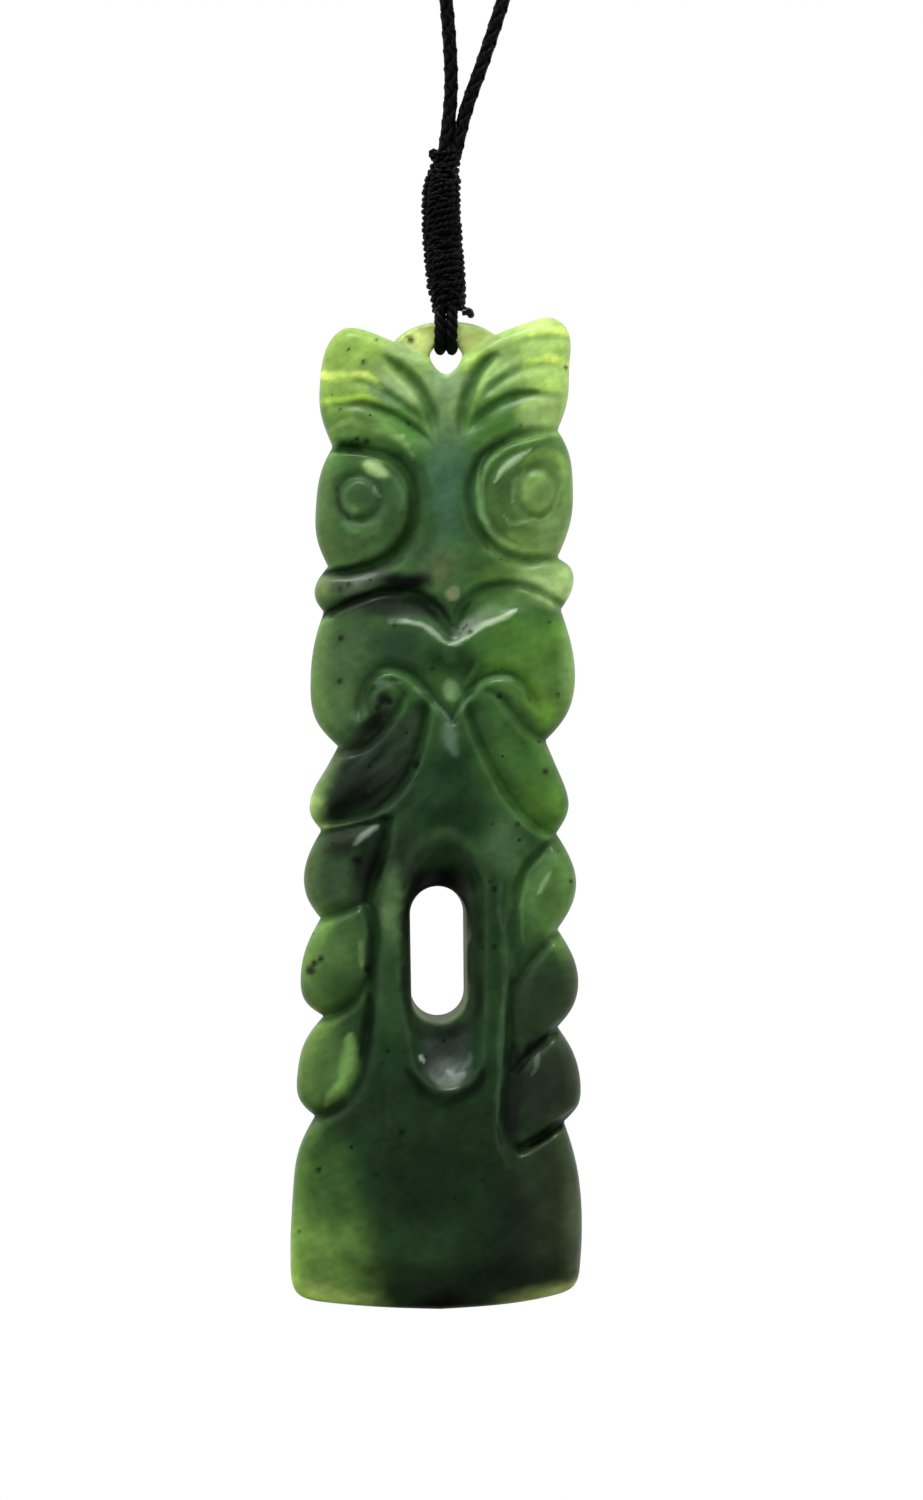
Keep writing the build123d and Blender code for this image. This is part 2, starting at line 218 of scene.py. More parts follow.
def strand_mesh(name, strands, sides):
    """One mesh of many strands. A strand is its line, the way its flat side faces, half its width and half
    its thickness, all in mm. How far round and how far along the strand a point lies goes in "fibre", with
    a shift from strand to strand so that no two look alike."""
    turn = np.linspace(0, 2 * math.pi, sides, endpoint=False)
    corners, faces, fibre = [], [], []
    for number, (line, facing, half_width, half_thickness) in enumerate(strands):
        sideways, outward = ways_across(line, facing)
        rings = (line[:, None] + sideways[:, None] * (half_width * np.cos(turn))[None, :, None]
                 + outward[:, None] * (half_thickness * np.sin(turn))[None, :, None])
        first = sum(len(block) for block in corners)
        corners.append(rings.reshape(-1, 3))
        along = np.concatenate([[0], np.cumsum(np.linalg.norm(np.diff(line, axis=0), axis=1))])
        marks = np.zeros((len(line), sides, 3))
        marks[..., 0] = turn[None, :] * half_width + strand_shift * number
        marks[..., 1] = along[:, None]
        fibre.append(marks.reshape(-1, 3))
        here = first + np.arange(len(line) - 1)[:, None] * sides + np.arange(sides)[None, :]
        beside = first + np.arange(len(line) - 1)[:, None] * sides + (np.arange(sides) + 1)[None, :] % sides
        faces += np.stack([here, beside, beside + sides, here + sides], axis=-1).reshape(-1, 4).tolist()
        faces.append((first + np.arange(sides))[::-1].tolist())
        faces.append((first + (len(line) - 1) * sides + np.arange(sides)).tolist())
    mesh = bpy.data.meshes.new(name)
    mesh.from_pydata((np.concatenate(corners) * mm).tolist(), [], faces)
    place_on_strand = mesh.attributes.new("fibre", "FLOAT_VECTOR", "POINT")
    place_on_strand.data.foreach_set("vector", np.concatenate(fibre).ravel())
    mesh.shade_smooth()
    piece = bpy.data.objects.new(name, mesh)
    bpy.context.scene.collection.objects.link(piece)
    return piece


# The plait: four strands wind each way and pass over and under the others
cord_diameter = 1.25
strands_each_way = 4
strand_half_width = 0.33
strand_half_thickness = 0.20
strand_sides = 5
over_and_under = 0.35 * strand_half_thickness
plait_lay = 6.5
cord_step = 0.34
toward_back = np.array([0.0, 1.0, 0.0])
cord_line, cord_along = even_steps(read_route(route), cord_step)
sideways, outward = ways_across(cord_line, toward_back)
turned = 2 * math.pi * cord_along / plait_lay
cord_strands = []
for way_round in (1, -1):
    weave = way_round * over_and_under * np.cos(strands_each_way * turned)
    away = (cord_diameter / 2 - strand_half_thickness + weave)[:, None]
    for strand in range(strands_each_way):
        angle = (way_round * turned + 2 * math.pi * strand / strands_each_way)[:, None]
        out = sideways * np.cos(angle) + outward * np.sin(angle)
        cord_strands.append((cord_line + out * away, out, strand_half_width, strand_half_thickness))
neck_cord = strand_mesh("neck_cord_plait", cord_strands, strand_sides)

# Waxed polyester, plaited: black, with a soft waxy shine in short broken glints where the fibres lie
fibre_width = 0.12
fibre_length = 1.6
waxed_cord, tree = new_material("waxed_polyester_cord")
marks = add_node(tree, "Attribute", {}, attribute_name="fibre")
drawn_out = add_node(tree, "Mapping", {"Vector": marks.outputs["Vector"],
                                       "Scale": (1 / fibre_width, 1 / fibre_length, 1)})
streaks = add_node(tree, "TexNoise", {"Vector": drawn_out.outputs[0], "Scale": 1.0, "Detail": 3.0})
place = add_node(tree, "TexCoord", {})
smears = add_node(tree, "TexNoise", {"Vector": place.outputs["Object"], "Scale": 420.0, "Detail": 2.0})
wax = add_node(tree, "MapRange", {"Value": smears.outputs[0], "From Min": 0.35, "From Max": 0.65,
                                  "To Min": 0.40, "To Max": 0.70})
black = add_node(tree, "ValToRGB", {"Fac": streaks.outputs[0]})
black.color_ramp.elements[0].position = 0.35
black.color_ramp.elements[0].color = colour("#010102")
black.color_ramp.elements[1].position = 0.75
black.color_ramp.elements[1].color = colour("#0d0d10")
lift = add_node(tree, "Bump", {"Height": streaks.outputs[0], "Strength": 0.5, "Distance": 0.04 * mm})
surface = add_node(tree, "BsdfPrincipled", {
    "Base Color": black.outputs[0], "Roughness": wax.outputs[0], "IOR": 1.45, "Specular IOR Level": 0.16,
    "Normal": lift.outputs[0],
})
add_node(tree, "OutputMaterial", {"Surface": surface.outputs[0]})
neck_cord.data.materials.append(waxed_cord)
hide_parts("neck_cord")
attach(neck_cord, "cords")


# Whipping
# Fine waxed thread wound tightly about twenty times round the cord's ends, two plies twisted together. The
# turns slant up to the right in front, and a row of hitches down the front makes it knotty.
whipping_length = (whipping_high.z - whipping_low.z) / mm
whipping_diameter = 3.7
# (share of the length down, how far its middle lies across, its width), the last two in diameters
whipping_sections = [
    (0.00, 0.05, 0.62), (0.03, 0.02, 0.68), (0.145, -0.085, 0.88), (0.254, -0.12, 0.985),
    (0.46, -0.115, 0.99), (0.69, -0.04, 0.975), (0.88, 0.06, 0.96), (0.97, 0.09, 0.82), (1.00, 0.09, 0.76),
]
thread_pitch = 0.60
thread_half = 0.33
turn_slant = 0.24
# Two plies make the thread: how far each lies from its middle, half its width, and the length of one twist
turn_plies = (0.13, 0.23, 1.7)
hitch_plies = (0.12, 0.18, 1.2)
crossing_plies = (0.15, 0.24, 1.4)
ply_step = 0.16
ply_sides = 8
# A thread that runs straight to the back has a way sideways too
almost_back = toward_back + 0.01
shake = random.Random(7)


def whipping_at(down):
    """How far sideways the whipping's middle lies and its half width, at a share of its length down."""
    shares = np.array(whipping_sections)
    middle = np.interp(down, shares[:, 0], shares[:, 1]) * whipping_diameter
    half = np.interp(down, shares[:, 0], shares[:, 2]) * whipping_diameter / 2
    return middle, half


def plied(line, plies, reach, half_width, lay_length):
    """Plies twisted round a line."""
    line, along = even_steps(line, ply_step)
    sideways, outward = ways_across(line, almost_back)
    strands = []
    for ply in range(plies):
        angle = (2 * math.pi * (along / lay_length + ply / plies))[:, None]
        out = sideways * np.cos(angle) + outward * np.sin(angle)
        strands.append((line + out * reach, out, half_width, half_width))
    return strands


points_a_turn = 40
first_turn_down = 0.025
uneven_places = 90
uneven_out = 0.09
uneven_along = 0.05
turns = whipping_length / thread_pitch
turned = np.linspace(0, 2 * math.pi * turns, round(turns * points_a_turn))
uneven = np.interp(turned, np.linspace(0, turned[-1], uneven_places),
                   [shake.uniform(-1, 1) for _ in range(uneven_places)])
turn_down = first_turn_down + (1 - 2 * first_turn_down) * turned / turned[-1]
middle, half = whipping_at(turn_down)
reach = half - thread_half + uneven_out * uneven
around_x, around_y = reach * np.cos(turned), reach * np.sin(turned)
height = whipping_top - turn_down * whipping_length + turn_slant * around_x + uneven_along * uneven
wound = plied(np.stack([middle + around_x, around_y, height], axis=1), 2, *turn_plies)

# The hitches: short slanting bights laid over the turns, down the front, with their ends tucked in
hitch_under = 0.02
hitch_tuck = 0.22
hitch_rises = (-0.5, 0.3, 0.45)
hitch_leans = (-0.5, 0.5)
hitch_half_angles = (0.40, 0.80)
for number in range(int(turns)):
    down = (number + 0.5) / turns
    middle, half = whipping_at(down)
    height = whipping_top - down * whipping_length
    lean = shake.uniform(*hitch_leans)
    sweep = np.linspace(-1, 1, 18)
    reach = half - hitch_under - hitch_tuck * sweep**2
    angle = -math.pi / 2 + 0.08 + 0.7 * lean + sweep * shake.uniform(*hitch_half_angles)
    bight = np.stack([middle + reach * np.cos(angle), reach * np.sin(angle),
                      height + shake.choice(hitch_rises) * sweep + 0.2 * lean], axis=1)
    wound += plied(bight, 2, *hitch_plies)

# The first turn's crossing stands up at the top left, and goes from the left side round to the front
crossing_below = 0.75
crossing_rise = 0.45
middle, half = whipping_at(0.03)
sweep = np.linspace(0, 1, 24)
crossing_x = middle - 1.05 * half * np.cos(1.9 * sweep - 0.6)
crossing_y = -0.9 * half * np.sin(2.4 * sweep - 0.2)
crossing_z = whipping_top - crossing_below + crossing_rise * np.sin(math.pi * sweep)
crossing = np.stack([crossing_x, crossing_y, crossing_z], axis=1)
wound += plied(crossing, 2, *crossing_plies)

# The cord's ends inside fill the middle: (share down where it starts, where it ends, half width)
for first, last, core_half in ((0.02, 0.98, 0.80), (0.17, 0.94, 1.42)):
    core_down = np.linspace(first, last, 30)
    middle, half = whipping_at(core_down)
    core = np.stack([middle, 0 * middle, whipping_top - core_down * whipping_length], axis=1)
    wound.append((core, toward_back, core_half, core_half))
whipping = strand_mesh("whipping_thread", wound, ply_sides)
whipping.data.materials.append(waxed_cord)
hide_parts("whipping")
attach(whipping, "cords")


# Hanging loops
# Two turns of the cord go down from the whipping in front of the stone's rim, through the drilled hole and
# up behind it. They lie side by side, and each is three plies that show.
loop_sag = 0.14
loop_into_whipping = 0.6
loop_pinch = 0.8
loop_plies = (0.28, 0.29, 2.6)
loop_core_half = 0.40
bend_points = 30
for side in ("left", "right"):
    node = "hanging_loop_" + side
    loop_low, loop_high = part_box(node)
    strand = (loop_high.x - loop_low.x) / 2 / mm
    across = (loop_high.x + loop_low.x) / 2 / mm
    bend = (loop_high.y - loop_low.y) / 2 / mm - strand
    bend_middle = loop_low.z / mm + strand + bend - loop_sag
    entry = loop_pinch * bend
    top = loop_high.z / mm + loop_into_whipping
    angle = np.linspace(math.pi, 2 * math.pi, bend_points)
    under = np.stack([np.full(bend_points, across), bend * np.cos(angle), bend_middle + bend * np.sin(angle)],
                     axis=1)
    turn_line = np.concatenate([[[across, -entry, top]], under, [[across, entry, top]]])
    strands = plied(turn_line, 3, *loop_plies)
    strands.append((even_steps(turn_line, ply_step)[0], almost_back, loop_core_half, loop_core_half))
    loop = strand_mesh(f"{node}_plies", strands, ply_sides)
    loop.data.materials.append(waxed_cord)
    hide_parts(node)
    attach(loop, "cords")


# Thread end
# The end of the whipping thread sticks out at the lower right, where it was cut and melted to a small
# shiny bead that curls down.
end_low, end_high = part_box("thread_end")
end_half = 0.32
end_forward = 0.9
end_step = 0.08
bead_half = 0.34
# Its middle line comes out of the whipping and goes up, over to the right and down to the bead
curl = np.array([
    (end_low.x / mm - 0.5, -end_forward, end_low.z / mm + 0.55),
    (end_low.x / mm + 0.05, -end_forward, end_high.z / mm - 0.60),
    (end_high.x / mm - 1.15, -end_forward, end_high.z / mm - 0.45),
    (end_high.x / mm - 0.85, -end_forward, end_high.z / mm - 0.60),
    (end_high.x / mm - 0.78, -end_forward, end_low.z / mm + bead_half),
])
curl_line, _ = even_steps(curl, end_step)
thread_end = strand_mesh("thread_end_curl", [(curl_line, toward_back, end_half, end_half)], 12)
bpy.ops.mesh.primitive_uv_sphere_add(segments=20, ring_count=12, radius=bead_half * mm,
                                     location=curl[-1] * mm)
bead = bpy.context.object
bpy.ops.object.select_all(action="DESELECT")
bead.select_set(True)
thread_end.select_set(True)
bpy.context.view_layer.objects.active = thread_end
bpy.ops.object.join()
thread_end.data.shade_smooth()

# Melted polyester: the same black, glassy
melted, tree = new_material("melted_polyester")
place = add_node(tree, "TexCoord", {})
ripples = add_node(tree, "TexNoise", {"Vector": place.outputs["Object"], "Scale": 1800.0})
lift = add_node(tree, "Bump", {"Height": ripples.outputs[0], "Strength": 0.4, "Distance": 0.05 * mm})
surface = add_node(tree, "BsdfPrincipled", {"Base Color": colour("#0a0a0b"), "Roughness": 0.12,
                                            "IOR": 1.55, "Normal": lift.outputs[0]})
add_node(tree, "OutputMaterial", {"Surface": surface.outputs[0]})
thread_end.data.materials.append(melted)
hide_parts("thread_end")
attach(thread_end, "cords")


# Pendant stone
# One piece of New Zealand greenstone, which is nephrite jade, sawn to an adze's outline, carved in front with
# rotary burrs and polished all over. It is thickest down the middle, and its foot is bevelled to an edge.
# The drawing is in mm, across from the middle and down from the top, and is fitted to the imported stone.
left_outline = [
    [(-1.5, 3.4), (-5.0, 2.0), (-7.6, 1.0), (-9.2, 0.9), (-10.5, 2.0), (-11.4, 5.3), (-11.4, 8.4),
     (-10.3, 11.6)],
    [(-10.3, 11.6), (-11.3, 13.8), (-11.8, 17.0), (-11.7, 20.0), (-10.7, 22.5)],
    [(-10.7, 22.5), (-11.7, 23.9), (-11.9, 25.2), (-11.1, 26.6)],
    [(-11.1, 26.6), (-11.9, 29.3), (-12.3, 33.1), (-11.8, 36.4), (-9.8, 38.8)],
    [(-9.8, 38.8), (-11.0, 41.0), (-12.3, 43.6), (-12.3, 45.0), (-11.3, 46.4)],
    [(-11.3, 46.4), (-12.4, 48.5), (-12.9, 50.8), (-12.6, 52.5), (-11.4, 54.4)],
    [(-11.4, 54.4), (-12.6, 56.8), (-13.2, 59.9), (-12.9, 61.7), (-11.1, 63.3)],
    [(-11.1, 63.3), (-12.8, 65.6), (-13.5, 68.6), (-13.4, 70.6), (-11.9, 72.4)],
    [(-11.9, 72.4), (-13.3, 75.2), (-13.9, 79.2), (-14.15, 86.0), (-13.6, 88.5), (-10.9, 89.4), (-4.2, 89.9),
     (-0.5, 90.0)],
]
right_outline = [
    [(1.5, 3.4), (4.5, 1.5), (7.6, 0.3), (9.9, 0.0), (11.0, 1.0), (11.2, 4.1), (11.0, 7.5), (10.1, 10.1)],
    [(10.1, 10.1), (11.0, 11.8), (11.5, 14.9), (11.3, 18.4), (10.1, 21.7)],
    [(10.1, 21.7), (11.4, 22.8), (11.5, 24.3), (10.4, 26.4)],
    [(10.4, 26.4), (11.3, 29.3), (11.7, 32.8), (11.0, 35.8), (9.0, 38.3)],
    [(9.0, 38.3), (10.3, 41.3), (11.1, 44.4), (10.0, 46.7)],
    [(10.0, 46.7), (11.2, 48.8), (11.8, 51.0), (11.4, 53.2), (10.1, 55.4)],
    [(10.1, 55.4), (11.4, 57.6), (12.0, 60.0), (11.6, 62.2), (10.1, 64.3)],
    [(10.1, 64.3), (11.5, 66.5), (12.2, 69.3), (12.0, 71.3), (10.7, 72.9)],
    [(10.7, 72.9), (11.6, 75.7), (12.2, 79.2), (12.2, 85.8), (11.7, 87.8), (9.6, 88.8), (4.9, 89.6),
     (-0.5, 90.0)],
]
hole_middle = (0.0, 3.24)
hole_radius = 1.49
rim_outline = [(-4.8, 7.0), (-4.9, 4.2), (-4.7, 2.1), (-3.3, 0.9), (-1.2, 0.28), (1.3, 0.26), (3.0, 0.6),
               (4.7, 1.8), (4.9, 4.2), (4.8, 7.0)]

# Thickness down the stone: (down, front at the middle, front at the sides, back at the middle, at the sides)
thickness = np.array([
    (-4.5, 3.20, 2.20, 2.40, 1.86), (10.8, 3.60, 2.48, 2.76, 2.10), (31.5, 4.00, 2.64, 3.00, 2.22),
    (55.8, 3.88, 2.48, 3.00, 2.22), (79.2, 3.52, 2.40, 2.70, 2.10), (94.5, 3.04, 2.08, 2.28, 1.80),
])
thickness_side = 15.2
bevel_length = 4.2
blade_edge_half = 0.6

# Carved lines: points, depth, flank on the left hand and on the right hand of the way the line is drawn, and
# how far the line takes to run out at each end, where minus means that it narrows and stays deep. A flank is
# its width, and how full it is: a burr leaves a hollow with a crisp top edge, a rubbed shoulder is round.
burr = 0.65
cut_wall = 1.0
rubbed = 1.7
carved_lines = {
    "left brow inner": ([(-6.1, 3.4), (-5.0, 4.05), (-3.4, 5.35), (-2.1, 7.0), (-1.25, 9.0), (-0.8, 11.6)],
                        0.85, (0.62, burr), (0.70, burr), 2.5, 2.8),
    "left brow middle": ([(-11.8, 5.8), (-8.5, 5.7), (-6.8, 6.0), (-5.0, 7.0), (-3.1, 8.5), (-1.5, 10.2)],
                         0.65, (0.30, burr), (1.50, rubbed), 8.0, 2.6),
    "left brow lower": ([(-11.8, 8.3), (-9.4, 8.0), (-7.5, 7.9), (-5.6, 8.4), (-3.5, 9.6), (-0.7, 12.0)],
                        0.85, (0.42, burr), (1.30, rubbed), 7.0, 2.8),
    "right brow inner": ([(1.4, 11.6), (1.4, 9.6), (1.75, 7.3), (2.55, 5.35), (3.65, 3.9), (5.05, 2.8)],
                         0.85, (0.62, burr), (0.72, burr), 2.8, 2.5),
    "right brow upper": ([(6.0, 2.4), (7.5, 2.0), (9.3, 1.8), (11.6, 1.9)], 0.25, (0.3, cut_wall),
                         (1.2, rubbed), 1.5, 0.0),
    "right brow middle": ([(3.0, 7.6), (4.4, 6.0), (6.4, 4.8), (8.8, 4.3), (11.6, 4.7)],
                          0.60, (0.32, burr), (1.40, rubbed), 1.8, 7.0),
    "right brow lower": ([(1.4, 11.4), (3.0, 9.05), (5.0, 7.6), (6.9, 7.0), (8.8, 7.0), (11.6, 7.4)],
                         0.85, (0.42, burr), (1.50, rubbed), 2.8, 7.0),
    "left eye socket": ([(-12.4, 12.2), (-10.3, 12.0), (-7.8, 12.0), (-5.3, 12.6), (-3.7, 13.9), (-3.0, 15.9),
                         (-3.1, 18.1), (-4.0, 20.3), (-6.0, 22.0), (-8.7, 22.8), (-12.2, 23.15)],
                        1.05, (1.75, 1.35), (0.50, cut_wall), -9.0, -7.0),
    "right eye socket": ([(12.0, 9.9), (9.9, 10.2), (6.9, 10.7), (4.9, 11.5), (3.0, 13.3), (2.1, 15.7),
                          (2.5, 18.3), (4.1, 20.6), (6.9, 22.0), (9.9, 21.8), (12.2, 21.6)],
                         0.85, (0.60, cut_wall), (0.70, cut_wall), 5.0, 5.5),
    "right eye ring": ([(8.2, 11.9), (6.0, 12.4), (4.5, 13.7), (3.6, 15.8), (3.9, 18.0), (5.2, 20.0),
                        (7.4, 21.0)], 0.30, (0.50, rubbed), (0.35, cut_wall), 2.0, 2.0),
    "left upper lip": ([(-12.4, 27.7), (-10.9, 26.9), (-8.5, 25.75), (-6.6, 25.05), (-4.6, 24.8),
                        (-2.7, 25.0), (-1.2, 25.9), (0.6, 28.2)], 1.25, (0.45, cut_wall), (0.40, cut_wall),
                       0.0, 0.0),
    "right upper lip": ([(0.6, 28.2), (0.9, 26.6), (2.1, 25.3), (3.6, 24.4), (5.9, 24.2), (7.8, 24.6),
                         (10.2, 25.9), (12.2, 27.2)], 0.90, (0.45, cut_wall), (0.40, cut_wall), 0.0, 0.0),
    "left mouth curl": ([(0.5, 36.6), (-1.6, 33.9), (-2.8, 32.6), (-4.4, 31.8), (-5.8, 31.8), (-6.9, 32.6),
                         (-7.6, 33.9), (-7.9, 35.2), (-7.6, 36.8)], 0.90, (0.60, cut_wall), (1.30, rubbed),
                        -3.0, 1.6),
    "left curl inner": ([(-7.4, 36.4), (-7.3, 34.7), (-6.5, 33.7), (-5.4, 33.1), (-4.0, 33.1)],
                        0.35, (0.4, cut_wall), (0.6, rubbed), 1.0, 1.0),
    "right mouth curl": ([(0.7, 36.6), (1.5, 34.5), (2.5, 33.3), (3.8, 32.5), (5.4, 32.3), (7.0, 33.1),
                          (7.9, 34.5), (8.7, 36.2)], 0.80, (1.30, rubbed), (0.60, cut_wall), -3.0, 1.8),
    "right curl inner": ([(3.1, 33.7), (4.7, 34.2), (6.0, 35.5), (7.1, 37.0)], 0.35, (0.6, rubbed),
                         (0.5, cut_wall), 1.0, 1.0),
    "tongue right": ([(2.9, 30.7), (1.6, 32.9), (0.6, 36.6)], 0.50, (0.6, cut_wall), (0.6, cut_wall), 1.6,
                     0.0),
    "left cheek foot": ([(-11.5, 38.8), (-10.0, 39.2), (-7.7, 38.9), (-6.0, 37.6), (-4.8, 36.0),
                         (-3.5, 33.5)], 0.70, (1.0, rubbed), (0.5, burr), 0.0, 2.0),
    "right cheek foot": ([(4.2, 33.7), (5.8, 35.3), (7.1, 36.9), (9.4, 38.4), (11.0, 38.6)],
                         0.55, (1.0, rubbed), (0.6, burr), 2.0, 0.0),
    "left shoulder": ([(-1.6, 34.3), (-2.0, 37.6), (-2.8, 40.2), (-4.1, 42.6), (-6.0, 44.4), (-8.4, 45.4),
                       (-12.6, 45.8)], 1.15, (0.60, rubbed), (1.80, 1.2), 1.6, 0.0),
    "right shoulder": ([(1.6, 34.5), (2.5, 37.2), (3.8, 40.2), (5.4, 43.1), (6.9, 45.0), (8.6, 46.4),
                        (11.7, 47.1)], 1.05, (1.80, 1.2), (0.60, rubbed), 1.6, 0.0),
    "left leaf one top": ([(-12.6, 47.0), (-10.9, 46.7), (-8.7, 46.2), (-5.4, 45.5)], 0.80, (0.35, burr),
                          (1.3, rubbed), 0.0, 0.0),
    "left leaf one side": ([(-5.2, 45.2), (-5.6, 47.9), (-6.5, 50.6), (-7.2, 53.2)], 1.15, (0.9, rubbed),
                           (1.6, 1.2), 0.0, 0.0),
    "left leaf two top": ([(-13.0, 54.9), (-11.2, 54.5), (-9.4, 53.8), (-7.2, 52.9)], 0.85, (1.1, rubbed),
                          (0.8, rubbed), 0.0, 0.0),
    "left leaves": ([(-7.2, 52.9), (-6.5, 55.1), (-6.7, 57.9), (-6.9, 62.0), (-7.4, 66.0), (-8.2, 69.1),
                     (-9.8, 71.3), (-12.8, 72.7)], 1.05, (1.3, rubbed), (0.95, 1.2), 0.0, 0.0),
    "left leaf three top": ([(-12.8, 63.6), (-11.2, 63.4), (-9.4, 62.8), (-8.0, 61.6), (-7.0, 59.6)],
                            0.85, (1.1, rubbed), (0.8, rubbed), 0.0, 0.6),
    "right leaves": ([(11.6, 46.6), (10.1, 46.9), (8.8, 47.9), (7.3, 49.6), (6.4, 51.6), (6.0, 54.0),
                      (6.1, 57.5), (6.2, 59.5), (5.8, 61.5), (5.8, 64.5), (5.6, 67.3), (5.4, 69.5),
                      (5.2, 72.0), (5.1, 74.2), (5.5, 76.0), (5.9, 77.6)], 0.95, (2.0, 1.2),
                     (0.50, cut_wall), 0.0, 5.0),
    "right leaf two top": ([(11.8, 54.9), (10.2, 55.6), (8.9, 56.9), (7.7, 58.3), (6.4, 60.4)],
                           0.75, (0.8, rubbed), (1.1, rubbed), 0.0, 0.0),
    "right leaf three top": ([(11.8, 63.9), (10.2, 64.4), (8.8, 65.6), (7.2, 67.0), (6.0, 68.6)],
                             0.85, (0.8, rubbed), (1.1, rubbed), 0.0, 0.0),
    "right leaf foot": ([(12.4, 71.9), (10.9, 72.7), (9.7, 73.5), (7.6, 74.9), (6.2, 75.6)],
                        1.10, (0.55, cut_wall), (0.55, burr), 0.0, 0.6),
    "left stem": ([(-5.6, 68.6), (-5.7, 71.5), (-5.5, 74.8)], 0.22, (0.7, cut_wall), (0.9, rubbed), 2.5, 2.5),
}
# The upper lip slopes from its carved line, where it is deepest, up to a crest below. The slope keeps its
# depth for some way to each side of its middle and then runs out.
lip_foot = carved_lines["left upper lip"][0] + carved_lines["right upper lip"][0][1:]
lip_crest = [(-12.6, 28.8), (-10.6, 28.1), (-8.2, 27.5), (-5.7, 27.3), (-3.6, 27.5), (-2.1, 27.9),
             (-0.7, 29.0), (0.8, 29.7), (2.1, 28.9), (3.5, 27.9), (6.4, 26.6), (8.6, 26.4), (10.6, 27.1),
             (12.6, 28.5)]
lip_depth = 1.00
lip_middle = 0.6
lip_reach = 3.5
lip_run_out = 4.5
# Rings round the pupils: (middle, half width, half height, depth, flank inside, flank outside)
pupil_rings = {
    "left pupil": ((-7.85, 16.4), 2.05, 2.10, 0.50, (0.55, burr), (1.1, rubbed)),
    "right pupil": ((8.3, 16.0), 1.95, 2.35, 0.42, (0.55, burr), (1.1, rubbed)),
}
# Swells and hollows: (middle, half width, half height, degrees turned anticlockwise, height)
swells = {
    "left eyeball": ((-7.6, 16.8), 4.9, 5.5, 0, 0.40),
    "right eyeball": ((7.6, 16.0), 5.3, 5.7, 0, 0.40),
    "nose": ((0.0, 23.5), 4.0, 4.2, 0, 0.30),
    "forehead": ((0.0, 8.0), 2.4, 7.0, 0, -0.30),
    "left cheek": ((-8.0, 32.5), 5.0, 6.5, 0, 0.25),
    "right cheek": ((7.6, 31.0), 5.0, 6.5, 0, 0.25),
    "lip middle": ((0.6, 29.4), 3.6, 2.4, 0, 0.25),
    "mouth middle": ((0.3, 32.6), 3.5, 2.4, 0, -0.30),
    "body hollow": ((0.8, 44.0), 3.4, 9.0, 0, -0.30),
    "left leaf one": ((-9.5, 50.0), 4.0, 4.5, 20, 0.25),
    "left leaf two": ((-9.8, 58.5), 4.0, 4.5, 20, 0.25),
    "left leaf three": ((-10.2, 67.5), 4.0, 5.0, 20, 0.25),
    "right leaf one": ((8.9, 51.5), 3.0, 5.0, -20, 0.25),
    "right leaf two": ((9.0, 60.5), 3.4, 5.0, -20, 0.25),
    "right leaf three": ((9.0, 69.5), 3.6, 5.0, -20, 0.25),
}
# The scooped surround of the slot: (down, middle, half width) of the trough, its depth, and how full its
# section is. Its two ends are rounded, the upper one shallow and soft, the lower one deep and crisp.
scoop_sections = np.array([(51.8, 0.05, 3.55), (55.0, -0.25, 3.88), (58.5, -0.35, 4.00), (62.0, -0.20, 3.80),
                           (64.3, 0.00, 3.50), (66.0, 0.10, 3.30)])
scoop_top = 47.0
scoop_foot = 69.8
scoop_depth = 2.4
scoop_crisp = 0.85
scoop_soft = 1.75
# The slot at the front and at the back: (across at its top, across at its foot, half width at its top, half
# width at its foot, top, foot)
slot_front = (-0.75, -0.60, 2.56, 2.50, 51.5, 64.0)
slot_back = (-0.93, -0.84, 2.42, 2.42, 51.5, 63.3)
slot_front_place = -2.1
slot_back_place = 3.0


def smooth_line(points, steps=8):
    """A smooth curve through a few drawn points: a natural cubic spline with even steps along it."""
    drawn = np.array(points, float)
    knots = np.concatenate([[0], np.cumsum(np.linalg.norm(np.diff(drawn, axis=0), axis=1))])
    gaps = np.diff(knots)
    count = len(drawn)
    system = np.eye(count)
    pull = np.zeros_like(drawn)
    for i in range(1, count - 1):
        system[i, i - 1:i + 2] = gaps[i - 1], 2 * (gaps[i - 1] + gaps[i]), gaps[i]
        pull[i] = 6 * ((drawn[i + 1] - drawn[i]) / gaps[i] - (drawn[i] - drawn[i - 1]) / gaps[i - 1])
    bend = np.linalg.solve(system, pull)
    places = np.linspace(0, knots[-1], steps * (count - 1) + 1)
    span = np.clip(np.searchsorted(knots, places, side="right") - 1, 0, count - 2)
    ahead = (knots[span + 1] - places)[:, None]
    past = (places - knots[span])[:, None]
    gap = gaps[span][:, None]
    return ((bend[span] * ahead**3 + bend[span + 1] * past**3) / (6 * gap)
            + (drawn[span] / gap - bend[span] * gap / 6) * ahead
            + (drawn[span + 1] / gap - bend[span + 1] * gap / 6) * past)


# The chart: square cells over the drawing, across and down, that hold one value each for the whole stone
cell = 0.1
chart_across = np.arange(-17, 15, cell)
chart_down = np.arange(-3, 93, cell)
across, down = np.meshgrid(chart_across, chart_down)


